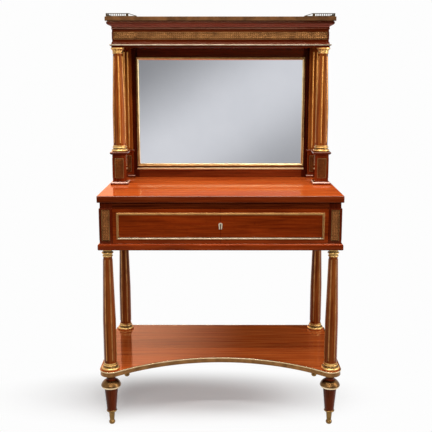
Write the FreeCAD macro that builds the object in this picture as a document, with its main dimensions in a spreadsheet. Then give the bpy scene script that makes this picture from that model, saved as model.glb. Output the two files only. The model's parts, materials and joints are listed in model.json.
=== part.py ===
import FreeCAD, Part
import os
import re
import Sketcher

# A pier table in mahogany with brass mounts: a fluted-column table with one drawer and a shelf, and above
# it a mirror between columns under a cornice. The origin is on the floor under the middle of the table,
# +X is to the right, the front faces -Y and +Z is up. All sizes are in millimetres.

SIZES = {
    # Table top and apron
    "top_width": 860,
    "top_depth": 490,
    "top_height": 862,
    "top_thickness": 24,
    "top_edge_round": 2.5,
    "side_overhang": 5,
    "front_overhang": 10,
    "die_width": 46,
    "die_depth": 52,
    "apron_height": 125,
    "neck_height": 22,
    "neck_inset": 3,
    "rail_thickness": 20,
    "top_rail_width": 40,
    "tenon_length": 12,
    "tenon_thickness": 8,
    "tenon_margin": 15,
    "moulding_height": 24,
    "moulding_reach": 6.5,
    "moulding_bevel": 5,
    "fit": 0.2,
    "overrun": 1,
    # Lower columns
    "spigot_radius": 9,
    "spigot_depth": 28,
    "column_bottom_radius": 22.2,
    "column_top_radius": 15.8,
    "column_base_height": 26,
    "column_torus_reach": 10.8,
    "column_capital_height": 28,
    "column_abacus_reach": 4.6,
    "ring_step": 2.5,
    "flute_count": 6,
    "fillet_radius": 3,
    "fillet_sink": 1.7,
    "flute_end_gap": 7,
    # Shelf and its brass edge
    "shelf_top": 216,
    "shelf_thickness": 20,
    "band_thickness": 3,
    "lobe_radius": 38,
    "shelf_waist": 109,
    "shelf_back_reach": 38,
    # Feet, heights above the floor
    "foot_neck_radius": 16,
    "foot_neck_bottom": 176,
    "bulge_radius": 36.4,
    "bulge_height": 155,
    "collar_top": 153.5,
    "collar_bottom": 144.5,
    "collar_lip": 1.8,
    "taper_top_radius": 25,
    "taper_bottom_radius": 17.2,
    "taper_bottom": 57,
    "cuff_radius": 16,
    "cuff_height": 6.5,
    "sabot_radius": 11.3,
    "ball_radius": 9.8,
    "ball_height": 15,
    "ball_flat_radius": 6,
    "foot_tip_radius": 7,
    "foot_tip_bottom": 22,
    # Drawer
    "drawer_gap": 1,
    "drawer_front_thickness": 22,
    "drawer_lap": 10,
    "drawer_side_thickness": 12,
    "drawer_side_height": 100,
    "drawer_side_inset": 14,
    "drawer_rear_gap": 50,
    "drawer_back_thickness": 12,
    "drawer_bottom_thickness": 8,
    "drawer_bottom_rise": 8,
    "drawer_groove": 6,
    "slide_gap": 0.8,
    "slide_clearance": 0.3,
    "runner_width": 27,
    "runner_thickness": 15,
    "guide_height": 20,
    "bead_margin": 13.5,
    "bead_width": 8.2,
    "bead_height": 4,
    "escutcheon_width": 14,
    "escutcheon_height": 27,
    "escutcheon_thickness": 2.5,
    "keyhole_rise": 68,
    "keyhole_radius": 2.6,
    "keyhole_slot": 3,
    "lock_width": 60,
    "lock_height": 42,
    "lock_thickness": 14,
    "lock_drop": 11,
    "bolt_width": 24,
    "bolt_thickness": 6,
    "bolt_length": 43,
    "bolt_travel": 7,
    "bolt_gap": 0.4,
    # Pedestals and upper columns
    "upper_axis_inset": 44,
    "upper_axis_back": 44,
    "pedestal_width": 52,
    "pedestal_base_height": 11,
    "pedestal_die_height": 104.5,
    "pedestal_cap_height": 9.5,
    "pedestal_reach": 8,
    "pedestal_chamfer": 4,
    "pedestal_tenon_radius": 9,
    "pedestal_tenon_depth": 12,
    "order_height": 389,
    "upper_bottom_radius": 24,
    "upper_top_radius": 17.6,
    "upper_base_height": 24.5,
    "upper_torus_reach": 7,
    "upper_capital_height": 21,
    "upper_abacus_reach": 6.6,
    "upper_spigot_depth": 9,
    "upper_flute_turn": 17,
    "plaque_thickness": 2,
    "plaque_margin": 9,
    "plaque_foot": 10,
    "plaque_head": 4,
    "plaque_rise": 14,
    # Pilasters and mirror wall
    "pilaster_width": 60,
    "pilaster_thickness": 11,
    "pilaster_pedestal_width": 64,
    "pilaster_pedestal_thickness": 14,
    "pilaster_reach": 4,
    "pilaster_drop": 10.5,
    "pilaster_fillet_pitch": 14.5,
    "wall_thickness": 22,
    "wall_tenon": 14,
    "stile_width": 83,
    "mirror_rail_bottom": 52.5,
    "mirror_rail_top": 36,
    "glass_thickness": 4.5,
    "back_board_thickness": 12,
    "frame_width": 12,
    "frame_lip": 4,
    "frame_height": 6,
    "sill_gap": 5.5,
    "sill_height": 7,
    "sill_thickness": 3,
    # Entablature and gallery
    "frieze_spread": 17,
    "frieze_lead": 16,
    "frieze_height": 46,
    "frieze_board": 16,
    "soffit_thickness": 12,
    "architrave_height": 21,
    "architrave_reach": 8,
    "cornice_height": 44.6,
    "cornice_reach": 20.4,
    "strip_height": 27,
    "strip_thickness": 2,
    "strip_end_gap": 6,
    "gallery_height": 12,
    "gallery_thickness": 2,
    "gallery_inset": 2,
    "gallery_rail": 2.4,
    "gallery_pitch": 8,
    "gallery_bar": 2.5,
    "return_length": 81,
    "slope_length": 31,
}

# Places worked out from the sizes.
PLACES = {
    "top_underside": "top_height - top_thickness",
    "apron_side": "top_width / 2 - side_overhang",
    "apron_front": "top_depth / 2 - front_overhang",
    "apron_top": "top_underside - neck_height",
    "apron_bottom": "apron_top - apron_height",
    "moulding_bottom": "apron_bottom - moulding_height",
    "moulding_width": "die_depth + moulding_reach",
    "moulding_inner_side": "apron_side + moulding_reach - moulding_width",
    "moulding_inner_front": "apron_front + moulding_reach - moulding_width",
    "column_side": "apron_side - die_width / 2",
    "column_front": "apron_front - die_depth / 2",
    "die_inner_side": "apron_side - die_width",
    "die_inner_front": "apron_front - die_depth",
    "bore_radius": "spigot_radius + fit",
    "shelf_bottom": "shelf_top - shelf_thickness",
    "column_foot": "shelf_top + column_base_height",
    "column_head": "moulding_bottom - column_capital_height",
    "shelf_side": "column_side + lobe_radius",
    "shelf_back": "column_front + shelf_back_reach",
    "waist_centre": "(column_side ^ 2 + column_front ^ 2 - (shelf_waist - lobe_radius) ^ 2)"
                    " / (2 * (column_front - shelf_waist + lobe_radius))",
    "lobe_distance": "waist_centre - shelf_waist + lobe_radius",
    "drawer_half": "die_inner_side - drawer_gap",
    "drawer_foot": "apron_bottom + drawer_gap",
    "drawer_head": "apron_top - drawer_gap",
    "drawer_inner": "apron_front - drawer_front_thickness",
    "drawer_side_outer": "drawer_half - drawer_side_inset",
    "drawer_side_inner": "drawer_side_outer - drawer_side_thickness",
    "drawer_back_end": "apron_front - rail_thickness - drawer_rear_gap",
    "drawer_back_face": "drawer_back_end - drawer_back_thickness",
    "drawer_side_foot": "apron_bottom + slide_clearance",
    "drawer_side_top": "drawer_side_foot + drawer_side_height",
    "drawer_floor": "drawer_side_foot + drawer_bottom_rise",
    "drawer_floor_top": "drawer_floor + drawer_bottom_thickness",
    "keyhole_height": "apron_bottom + keyhole_rise",
    "lock_bottom": "keyhole_height - lock_drop",
    "lock_top": "lock_bottom + lock_height",
    "bolt_back": "drawer_inner - (lock_thickness - bolt_thickness) / 2 - bolt_thickness",
    "bolt_top": "drawer_head - drawer_gap",
    "pedestal_base_top": "top_height + pedestal_base_height",
    "pedestal_die_top": "pedestal_base_top + pedestal_die_height",
    "pedestal_top": "pedestal_die_top + pedestal_cap_height",
    "pedestal_front": "upper_axis_back - pedestal_width / 2",
    "pilaster_die_top": "pedestal_die_top - pilaster_drop",
    "pilaster_foot": "pedestal_top - pilaster_drop",
    "upper_axis_side": "top_width / 2 - upper_axis_inset",
    "soffit": "pedestal_top + order_height",
    "upper_foot": "pedestal_top + upper_base_height",
    "upper_head": "soffit - upper_capital_height",
    "wall_back": "top_depth / 2",
    "wall_front": "wall_back - wall_thickness",
    "wall_side": "upper_axis_side + pilaster_width / 2",
    "mirror_half": "wall_side - stile_width",
    "mirror_bottom": "top_height + mirror_rail_bottom",
    "mirror_top": "soffit - mirror_rail_top",
    "mirror_middle": "(mirror_bottom + mirror_top) / 2",
    "frieze_half": "upper_axis_side + frieze_spread",
    "frieze_front": "upper_axis_back - frieze_lead",
    "frieze_bottom": "soffit + architrave_height",
    "cornice_bottom": "frieze_bottom + frieze_height",
    "cornice_top": "cornice_bottom + cornice_height",
    "gallery_side": "frieze_half + cornice_reach - gallery_inset",
    "gallery_front": "frieze_front - cornice_reach + gallery_inset",
    "gallery_window": "gallery_pitch - gallery_bar",
}

# The share of a shaft's height where its taper starts.
TAPER_START_SHARE = 0.40

# Heights of the rings of a turned base, capital and cornice, from bottom to top.
BASE_RING_SHARES = (0.40, 0.58, 0.80)
CAPITAL_RING_SHARES = (0.16, 0.40, 0.58, 0.84)
UPPER_CAPITAL_SHARES = (0.18, 0.30, 0.80)
CORNICE_RISE_SHARES = (0.08, 0.30, 0.34, 0.58, 0.66)
CORNICE_REACH_SHARES = (0.10, 0.40, 0.50, 0.84, 0.72)
ARCHITRAVE_RISE_SHARES = (0.25, 0.38, 0.60, 0.95)
ARCHITRAVE_REACH_SHARES = (0.40, 1.00, 0.55, 0.25)
FRAME_RISE_SHARES = (0.35, 0.75, 0.45)
FRAME_REACH_SHARES = (0.35, 0.80)
BEAD_EDGE_SHARES = (0.33, 0.50)
BEAD_ROUND_SHARES = (0.40, 0.20)
ESCUTCHEON_DROP_SHARE = 0.60
ESCUTCHEON_FOOT_SHARE = 0.35
KEYHOLE_DROP_SHARE = 0.25

SIDES = {"left": -1, "right": 1}
CORNERS = {
    "front_left": (-1, -1),
    "front_right": (1, -1),
    "rear_left": (-1, 1),
    "rear_right": (1, 1),
}

doc = FreeCAD.newDocument("pier_table")
sheet = doc.addObject("Spreadsheet::Sheet", "Sizes")
for row, (alias, size) in enumerate(SIZES.items(), 1):
    sheet.set(f"A{row}", alias)
    sheet.set(f"B{row}", str(size))
    sheet.setAlias(f"B{row}", alias)
doc.recompute()

NODES = []


# Expressions

def bound(expression):
    """Spell an expression out: sizes are read from the sheet, named places are expanded."""
    def spell(word):
        name = word.group()
        if name in SIZES:
            return f"Sizes.{name}"
        if name in PLACES:
            return f"({bound(PLACES[name])})"
        return name
    return re.sub(r"[a-z][a-z_]*", spell, str(expression))


def value(expression):
    """The number that an expression gives now."""
    result = sheet.evalExpression(bound(expression))
    return float(getattr(result, "Value", result))


def bind(item, prop, expression):
    """Tie a property to an expression of the sizes."""
    item.setExpression(prop, bound(expression))


def place(item, x="0", y="0", z="0", rotation=None):
    """Give an object its place, and its turn if it has one."""
    if rotation:
        item.Placement = FreeCAD.Placement(FreeCAD.Vector(), rotation)
    for axis, expression in zip("xyz", (x, y, z)):
        bind(item, f"Placement.Base.{axis}", expression)
    return item


def keep(item, label):
    """Name a finished sub-part and put it on the list that is written."""
    item.Label = label
    NODES.append(item)
    return item


def turn(axis, degrees):
    """A rotation about a main axis."""
    return FreeCAD.Rotation(FreeCAD.Vector(*(float(name == axis) for name in "xyz")), degrees)


def mirrored(side, low, high):
    """A range on the right, or the same range on the left where side is -1."""
    return (low, high) if side > 0 else (f"-({high})", f"-({low})")


def about(middle, width):
    """A range of a width about its middle."""
    return f"({middle}) - ({width}) / 2", f"({middle}) + ({width}) / 2"


# Boards, cylinders and booleans

def board(name, x, y, z):
    """A rectangular board between two expressions along each axis."""
    box = doc.addObject("Part::Box", name)
    for prop, (low, high) in zip(("Length", "Width", "Height"), (x, y, z)):
        bind(box, prop, f"({high}) - ({low})")
    return place(box, x[0], y[0], z[0])


def rod(name, x, y, z, radius):
    """An upright cylinder."""
    cylinder = doc.addObject("Part::Cylinder", name)
    bind(cylinder, "Radius", radius)
    bind(cylinder, "Height", f"({z[1]}) - ({z[0]})")
    return place(cylinder, x, y, z[0])


def group(items, name="group"):
    """Several separate solids as one object."""
    compound = doc.addObject("Part::Compound", name)
    compound.Links = items
    return compound


def fuse(items, name="joined"):
    """Pieces that are worked from one block."""
    joined = doc.addObject("Part::MultiFuse", name)
    joined.Shapes = items
    joined.Refine = True
    return joined


def cut(base, tools, name="worked"):
    """A piece with its mortises, grooves and holes cut out."""
    worked = doc.addObject("Part::Cut", name)
    worked.Base = base
    worked.Tool = tools[0] if len(tools) == 1 else group(tools, "cutters")
    return worked


# Sketches

def origin(body, role):
    """A plane or axis of a body's own origin."""
    return next(item for item in body.Origin.OriginFeatures if item.Role == role)


def sketch_on(body, plane, name, offset="0"):
    """A sketch on one of the body's planes, moved along the plane's normal."""
    sketch = body.newObject("Sketcher::SketchObject", name)
    sketch.AttachmentSupport = [(origin(body, plane), "")]
    sketch.MapMode = "FlatFace"
    bind(sketch, "AttachmentOffset.Base.z", offset)
    return sketch


def pin(sketch, geometry, point, axis, expression):
    """Hold one coordinate of a sketch's point at an expression."""
    kind = "DistanceX" if axis == "x" else "DistanceY"
    number = sketch.addConstraint(Sketcher.Constraint(kind, -1, 1, geometry, point, value(expression)))
    sketch.setExpression(f"Constraints[{number}]", bound(expression))


def arc_between(start, end, left, centre_x, centre_y):
    """An arc from start to end whose centre has one known coordinate."""
    if centre_x is not None:
        cx = value(centre_x)
        cy = ((end[0] - cx) ** 2 + end[1] ** 2 - (start[0] - cx) ** 2 - start[1] ** 2)
        cy /= 2 * (end[1] - start[1])
    else:
        cy = value(centre_y)
        cx = ((end[1] - cy) ** 2 + end[0] ** 2 - (start[1] - cy) ** 2 - start[0] ** 2)
        cx /= 2 * (end[0] - start[0])
    centre = FreeCAD.Vector(cx, cy, 0)
    first, last = (start, end) if left else (end, start)
    angles = []
    for point in (first, last):
        ray = FreeCAD.Vector(*point, 0) - centre
        angles.append(FreeCAD.Vector(1, 0, 0).getAngle(ray) * (1 if ray.y >= 0 else -1))
    radius = (FreeCAD.Vector(*start, 0) - centre).Length
    circle = Part.Circle(centre, FreeCAD.Vector(0, 0, 1), radius)
    return Part.ArcOfCircle(circle, angles[0], angles[1])


def line_to(x, y):
    """A straight stretch of an outline to a point."""
    return {"x": x, "y": y}


def arc_to(x, y, bend, centre_x=None, centre_y=None):
    """A round stretch of an outline that bends left or right, with one coordinate of its centre."""
    return {"x": x, "y": y, "left": bend == "left", "centre_x": centre_x, "centre_y": centre_y}


def outline(sketch, path):
    """Draw a closed outline whose points and arc centres are tied to the sizes."""
    points = [(value(step["x"]), value(step["y"])) for step in path]
    ends = []
    for index, step in enumerate(path):
        start, end = points[index - 1], points[index]
        if "left" not in step:
            segment = Part.LineSegment(FreeCAD.Vector(*start, 0), FreeCAD.Vector(*end, 0))
            number = sketch.addGeometry(segment, False)
            ends.append((number, 1, 2))
            continue
        curve = arc_between(start, end, step["left"], step["centre_x"], step["centre_y"])
        number = sketch.addGeometry(curve, False)
        ends.append((number, 1, 2) if step["left"] else (number, 2, 1))
        axis = "x" if step["centre_x"] is not None else "y"
        pin(sketch, number, 3, axis, step[f"centre_{axis}"])
    for index, (number, _, last) in enumerate(ends):
        following, first, _ = ends[(index + 1) % len(ends)]
        sketch.addConstraint(Sketcher.Constraint("Coincident", number, last, following, first))
        pin(sketch, number, last, "x", path[index]["x"])
        pin(sketch, number, last, "y", path[index]["y"])


def circle_in(sketch, x, y, radius):
    """A circle tied to the sizes."""
    centre = FreeCAD.Vector(value(x), value(y), 0)
    number = sketch.addGeometry(Part.Circle(centre, FreeCAD.Vector(0, 0, 1), value(radius)), False)
    pin(sketch, number, 3, "x", x)
    pin(sketch, number, 3, "y", y)
    held = sketch.addConstraint(Sketcher.Constraint("Radius", number, value(radius)))
    sketch.setExpression(f"Constraints[{held}]", bound(radius))


def pad(body, sketch, length):
    """Thicken a sketch along its plane's normal."""
    block = body.newObject("PartDesign::Pad", "pad")
    block.Profile = sketch
    bind(block, "Length", length)
    return block


def pocket_through(body, sketch):
    """Cut a sketch right through the body, both ways."""
    before = body.Shape.Volume
    hole = body.newObject("PartDesign::Pocket", "pocket")
    hole.Profile = sketch
    hole.Type = "ThroughAll"
    hole.SideType = "Symmetric"
    doc.recompute()
    if not body.Shape.Volume < before:
        raise RuntimeError(f"{body.Name}: {sketch.Name} cuts nothing")
    return hole


# Turned, padded and mitred pieces

def turned(name, path, x="0", y="0"):
    """A piece turned about an upright axis, from half of its outline as radius and height."""
    body = doc.addObject("PartDesign::Body", name)
    half = sketch_on(body, "XZ_Plane", "half_outline")
    outline(half, path)
    solid = body.newObject("PartDesign::Revolution", "turning")
    solid.Profile = half
    solid.ReferenceAxis = (half, ["V_Axis"])
    solid.Angle = 360
    return place(body, x, y)


def capsule(body, low, high, radius):
    """A sketch of half a round-ended rod between two points of the upright plane, with its axis."""
    sketch = sketch_on(body, "XZ_Plane", "rod_outline")
    a = FreeCAD.Vector(value(low[0]), value(low[1]), 0)
    b = FreeCAD.Vector(value(high[0]), value(high[1]), 0)
    along = (b - a).normalize()
    across = FreeCAD.Vector(along.y, -along.x, 0)
    reach = value(radius)
    normal = FreeCAD.Vector(0, 0, 1)
    lean = FreeCAD.Vector(1, 0, 0).getAngle(across) * (1 if across.y >= 0 else -1)
    quarter = FreeCAD.Units.Quantity("90 deg").getValueAs("rad").Value
    foot = sketch.addGeometry(Part.ArcOfCircle(Part.Circle(a, normal, reach), lean - quarter, lean), False)
    flank = sketch.addGeometry(Part.LineSegment(a + across * reach, b + across * reach), False)
    head = sketch.addGeometry(Part.ArcOfCircle(Part.Circle(b, normal, reach), lean, lean + quarter), False)
    spine = sketch.addGeometry(Part.LineSegment(b + along * reach, a - along * reach), False)
    axis = sketch.addGeometry(Part.LineSegment(a, b), True)
    for first, end, second, start in ((head, 2, spine, 1), (spine, 2, foot, 1)):
        sketch.addConstraint(Sketcher.Constraint("Coincident", first, end, second, start))
    for first, end, second, start in ((foot, 2, flank, 1), (flank, 2, head, 1)):
        sketch.addConstraint(Sketcher.Constraint("Tangent", first, end, second, start))
    for arc, end, point in ((foot, 1, low), (head, 2, high)):
        sketch.addConstraint(Sketcher.Constraint("Coincident", arc, 3, axis, end))
        sketch.addConstraint(Sketcher.Constraint("PointOnObject", arc, 3, spine))
        pin(sketch, arc, 3, "x", point[0])
        pin(sketch, arc, 3, "y", point[1])
    held = sketch.addConstraint(Sketcher.Constraint("Radius", foot, reach))
    sketch.setExpression(f"Constraints[{held}]", bound(radius))
    sketch.addConstraint(Sketcher.Constraint("Equal", foot, head))
    return sketch


def ring_of(body, feature, count):
    """Repeat a feature evenly round the body's upright axis."""
    pattern = body.newObject("PartDesign::PolarPattern", "ring")
    pattern.Originals = [feature]
    pattern.Axis = (origin(body, "Z_Axis"), [""])
    pattern.Angle = 360
    bind(pattern, "Occurrences", count)
    body.Tip = pattern
    return pattern


def swept_rod(body, kind, points, radius):
    """A rod along a bent line of the upright plane, added to the body or cut from it."""
    line = sketch_on(body, "XZ_Plane", "rod_axis")
    for low, high in zip(points, points[1:]):
        ends = [FreeCAD.Vector(value(x), value(z), 0) for x, z in (low, high)]
        length = line.addGeometry(Part.LineSegment(*ends), False)
        if length:
            line.addConstraint(Sketcher.Constraint("Coincident", length - 1, 2, length, 1))
        else:
            pin(line, length, 1, "x", low[0])
            pin(line, length, 1, "y", low[1])
        pin(line, length, 2, "x", high[0])
        pin(line, length, 2, "y", high[1])
    section = sketch_on(body, "XY_Plane", "rod_section", points[0][1])
    circle_in(section, points[0][0], "0", radius)
    doc.recompute()
    swept = body.newObject(f"PartDesign::{kind}Pipe", "rod")
    swept.Profile = section
    swept.Spine = (line, [f"Edge{step}" for step in range(1, len(points))])
    swept.Transition = "Right corner"
    return swept


def flute(body, points, radius):
    """Cut flutes into a turned shaft."""
    doc.recompute()
    before = body.Shape.Volume
    ring_of(body, swept_rod(body, "Subtractive", points, radius), "flute_count")
    doc.recompute()
    if not body.Shape.Volume < before:
        raise RuntimeError(f"{body.Name}: the flutes cut nothing")


def fillets(name, points, radius, x, y):
    """Brass rods that fill the flutes of a shaft."""
    body = doc.addObject("PartDesign::Body", name)
    ring_of(body, swept_rod(body, "Additive", points, radius), "flute_count")
    return place(body, x, y)


def plate(name, path, low, high, holes=()):
    """A flat piece of an outline between two heights, with round holes through it."""
    body = doc.addObject("PartDesign::Body", name)
    flat = sketch_on(body, "XY_Plane", "outline", low)
    outline(flat, path)
    for x, y, radius in holes:
        circle_in(flat, x, y, radius)
    pad(body, flat, f"({high}) - ({low})")
    return body


def mitred(name, path, start, end, widest, mitres, rotation, spot):
    """A moulding length along local X whose section is outward and up, mitred at the ends asked for.

    start and end are where the length ends at zero outward reach, and widest is the greatest reach.
    """
    body = doc.addObject("PartDesign::Body", name)
    reach = f"({widest})"
    first = f"({start}) - {reach}" if mitres[0] else f"({start})"
    last = f"({end}) + {reach}" if mitres[1] else f"({end})"
    section = sketch_on(body, "YZ_Plane", "section", first)
    outline(section, path)
    pad(body, section, f"({last}) - ({first})")
    doc.recompute()
    for wanted, tip, way in ((mitres[0], first, "-"), (mitres[1], last, "+")):
        if not wanted:
            continue
        waste = sketch_on(body, "XY_Plane", "mitre")
        beyond = f"({tip}) {way} overrun"
        inner = f"({start}) + overrun" if way == "-" else f"({end}) - overrun"
        outline(waste, [
            line_to(beyond, f"{reach} + overrun"),
            line_to(beyond, "-overrun"),
            line_to(inner, "-overrun"),
        ])
        pocket_through(body, waste)
    return place(body, *spot, rotation=rotation)


def block(name, x, y, z, bevel, rim):
    """A square moulding block with the edges of its upper or lower face bevelled."""
    body = doc.addObject("PartDesign::Body", name)
    flat = sketch_on(body, "XY_Plane", "outline", z[0])
    outline(flat, [line_to(x[0], y[0]), line_to(x[1], y[0]), line_to(x[1], y[1]), line_to(x[0], y[1])])
    solid = pad(body, flat, f"({z[1]}) - ({z[0]})")
    doc.recompute()
    level = value(z[1] if rim == "top" else z[0])
    heights = [abs(face.CenterOfMass.z - level) for face in solid.Shape.Faces]
    bevelled = body.newObject("PartDesign::Chamfer", "bevel")
    bevelled.Base = (solid, [f"Face{heights.index(min(heights)) + 1}"])
    bind(bevelled, "Size", bevel)
    return body


def four_sided(name, path, half_width, half_height, widest, spot):
    """Four mitred lengths round an upright opening, whose section stands to the front."""
    lengths = []
    for degrees, half in ((0, half_width), (90, half_height), (180, half_width), (270, half_height)):
        rotation = turn("y", degrees) * turn("x", 90)
        seat = {0: ("0", "0", half_height), 90: (half_width, "0", "0"),
                180: ("0", "0", f"-({half_height})"), 270: (f"-({half_width})", "0", "0")}[degrees]
        centre = [f"({base}) + ({move})" for base, move in zip(spot, seat)]
        lengths.append(mitred(f"{name}_length", path, f"-({half})", half, widest, (True, True),
                              rotation, centre))
    return lengths


def three_sided(name, path, half_width, front, back, widest):
    """Mitred lengths along the front and both sides, square at the back."""
    return [
        mitred(f"{name}_front", path, f"-({half_width})", half_width, widest, (True, True),
               turn("z", 180), ("0", front, "0")),
        mitred(f"{name}_left", path, front, back, widest, (True, False),
               turn("z", 90), (f"-({half_width})", "0", "0")),
        mitred(f"{name}_right", path, f"-({back})", f"-({front})", widest, (False, True),
               turn("z", -90), (half_width, "0", "0")),
    ]


def share(low, height, part):
    """A height that is a share of the way up a piece."""
    return f"({low}) + ({height}) * {part}"


# Feet with their brass collars and sabots

def foot_outline():
    """Half outline of the turned wood, from the tip in the sabot to the spigot in the column."""
    top = "column_foot + spigot_depth"
    return [
        line_to("0", "foot_tip_bottom"),
        line_to("foot_tip_radius", "foot_tip_bottom"),
        line_to("foot_tip_radius", "taper_bottom"),
        line_to("taper_bottom_radius", "taper_bottom"),
        line_to("taper_top_radius", "collar_bottom"),
        line_to("taper_top_radius", "collar_top"),
        line_to("bulge_radius", "collar_top"),
        line_to("bulge_radius", "bulge_height"),
        arc_to("foot_neck_radius", "foot_neck_bottom", "left", centre_y="collar_bottom"),
        line_to("foot_neck_radius", "shelf_bottom"),
        line_to("spigot_radius", "shelf_bottom"),
        line_to("spigot_radius", top),
        line_to("0", top),
    ]


def collar_outline():
    """Half section of the collar that lies under the foot's bulge."""
    inner = "taper_top_radius + fit"
    lip = "taper_top_radius + collar_lip"
    return [
        line_to(inner, "collar_bottom"),
        line_to(lip, "collar_bottom"),
        arc_to("bulge_radius", "collar_top", "left", centre_x=lip),
        line_to(inner, "collar_top"),
    ]


def sabot_outline():
    """Half section of the brass sabot: ball, tapered cup and rounded cuff."""
    cuff_bottom = "taper_bottom - cuff_height"
    inner = "foot_tip_radius + fit"
    return [
        line_to("0", "0"),
        line_to("ball_flat_radius", "0"),
        arc_to("ball_flat_radius + ring_step", "ball_height", "left",
               centre_x="ball_radius - ball_height / 2"),
        line_to("sabot_radius", cuff_bottom),
        line_to("cuff_radius", cuff_bottom),
        arc_to("cuff_radius", "taper_bottom", "left", centre_x="cuff_radius"),
        line_to(inner, "taper_bottom"),
        line_to(inner, "foot_tip_bottom"),
        line_to("0", "foot_tip_bottom"),
    ]


def ring_base_outline(low, height, shaft, torus_reach):
    """Half section of a turned brass base: torus, hollow, astragal and fillet."""
    torus, hollow, astragal = (share(low, height, part) for part in BASE_RING_SHARES)
    round_part = f"({height}) * {BASE_RING_SHARES[0]} / 2"
    edge = f"({shaft}) + ({torus_reach}) - {round_part}"
    neck = f"({shaft}) + ring_step / 2"
    return [
        line_to("bore_radius", low),
        line_to(edge, low),
        arc_to(edge, torus, "left", centre_x=edge),
        arc_to(neck, hollow, "right", centre_y=hollow),
        arc_to(neck, astragal, "left", centre_x=neck),
        line_to(neck, f"({low}) + ({height})"),
        line_to("bore_radius", f"({low}) + ({height})"),
    ]


def taper_start(low, high):
    """The height where a shaft starts to taper."""
    return share(low, f"({high}) - ({low})", TAPER_START_SHARE)


def column_outline(low, high, bottom, top, spigot_top, bore_top):
    """Half outline of a tapered shaft with a bore at its foot and a spigot at its head."""
    return [
        line_to("0", bore_top),
        line_to("bore_radius", bore_top),
        line_to("bore_radius", low),
        line_to(bottom, low),
        line_to(bottom, taper_start(low, high)),
        line_to(top, high),
        line_to("spigot_radius", high),
        line_to("spigot_radius", spigot_top),
        line_to("0", spigot_top),
    ]


def flute_run(low, high, bottom, top):
    """The foot, bend and head of a flute's axis, sunk below the surface of a tapered shaft."""
    bend = taper_start(low, high)
    slope = f"(({bottom}) - ({top})) / (({high}) - ({bend}))"
    inset = "(flute_end_gap + fillet_radius)"
    return (
        (f"({bottom}) - fillet_sink", f"({low}) + {inset}"),
        (f"({bottom}) - fillet_sink", bend),
        (f"({top}) + {slope} * {inset} - fillet_sink", f"({high}) - {inset}"),
    )


def capital_outline(low, height, shaft, abacus_reach):
    """Half section of a ring-turned capital: astragal, neck, ring, flare and abacus."""
    astragal, neck, ring, flare = (share(low, height, part) for part in CAPITAL_RING_SHARES)
    inner = f"({shaft}) + ring_step / 4"
    outer = f"({shaft}) + ({abacus_reach})"
    top = f"({low}) + ({height})"
    return [
        line_to("bore_radius", low),
        line_to(inner, low),
        arc_to(inner, astragal, "left", centre_x=inner),
        line_to(inner, neck),
        line_to(f"({shaft}) + ring_step", neck),
        arc_to(f"({shaft}) + ring_step", ring, "left", centre_x=f"({shaft}) + ring_step"),
        line_to(f"({shaft}) + ring_step / 2", ring),
        arc_to(outer, flare, "right", centre_x=outer),
        line_to(outer, top),
        line_to("bore_radius", top),
    ]


def upper_capital_outline(low, height, shaft, abacus_reach):
    """Half section of a flared capital: astragal, neck, bell and abacus."""
    astragal, neck, bell = (share(low, height, part) for part in UPPER_CAPITAL_SHARES)
    inner = f"({shaft}) + ring_step / 4"
    outer = f"({shaft}) + ({abacus_reach})"
    top = f"({low}) + ({height})"
    return [
        line_to("bore_radius", low),
        line_to(inner, low),
        arc_to(inner, astragal, "left", centre_x=inner),
        line_to(inner, neck),
        arc_to(outer, bell, "right", centre_x=outer),
        line_to(f"{outer} + ring_step / 2", bell),
        line_to(f"{outer} + ring_step / 2", top),
        line_to("bore_radius", top),
    ]


def corner_place(signs):
    """The axis of a lower column."""
    return (f"{signs[0]} * (column_side)", f"{signs[1]} * (column_front)")


def lower_turnings():
    """Feet, sabots, collars, column bases, shafts, fillets and capitals at the four corners."""
    sabots, collars, bases, capitals, rods = [], [], [], [], []
    run = flute_run("column_foot", "column_head", "column_bottom_radius", "column_top_radius")
    base = ring_base_outline("shelf_top", "column_base_height", "column_bottom_radius",
                             "column_torus_reach")
    capital = capital_outline("column_head", "column_capital_height", "column_top_radius",
                              "column_abacus_reach")
    shaft = column_outline("column_foot", "column_head", "column_bottom_radius", "column_top_radius",
                           "apron_bottom + spigot_depth - fit", "column_foot + spigot_depth + fit")
    for corner, signs in CORNERS.items():
        x, y = corner_place(signs)
        keep(turned(f"foot_{corner}", foot_outline(), x, y), f"foot_{corner}")
        column = turned(f"column_{corner}", shaft, x, y)
        flute(column, run, "fillet_radius + fit / 2")
        keep(column, f"column_{corner}")
        sabots.append(turned("sabot", sabot_outline(), x, y))
        collars.append(turned("collar", collar_outline(), x, y))
        bases.append(turned("column_base", base, x, y))
        capitals.append(turned("capital", capital, x, y))
        rods.append(fillets("column_fillet", run, "fillet_radius", x, y))
    keep(group(sabots), "foot_sabots")
    keep(group(collars), "foot_collars")
    keep(group(bases), "column_bases")
    keep(group(capitals), "column_capitals")
    keep(group(rods), "column_fillets")


# Shelf

def shelf_path(inset):
    """Outline of the shelf, drawn in by an inset: lobed front corners, concave front, round back corners."""
    lobe = f"(lobe_radius - ({inset}))"
    side = f"(shelf_side - ({inset}))"
    back = f"(shelf_back - ({inset}))"
    corner = "(shelf_side - shelf_back_reach)"
    meet_x = f"(column_side - {lobe} * column_side / (lobe_distance))"
    meet_y = f"(-column_front - {lobe} * (waist_centre - column_front) / (lobe_distance))"
    return [
        line_to(side, "column_front"),
        arc_to(corner, back, "left", centre_y="column_front"),
        line_to(f"-{corner}", back),
        arc_to(f"-{side}", "column_front", "left", centre_y="column_front"),
        line_to(f"-{side}", "-column_front"),
        arc_to(f"-{meet_x}", meet_y, "left", centre_y="-column_front"),
        arc_to(meet_x, meet_y, "right", centre_y="-waist_centre"),
        arc_to(side, "-column_front", "left", centre_y="-column_front"),
    ]


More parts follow.
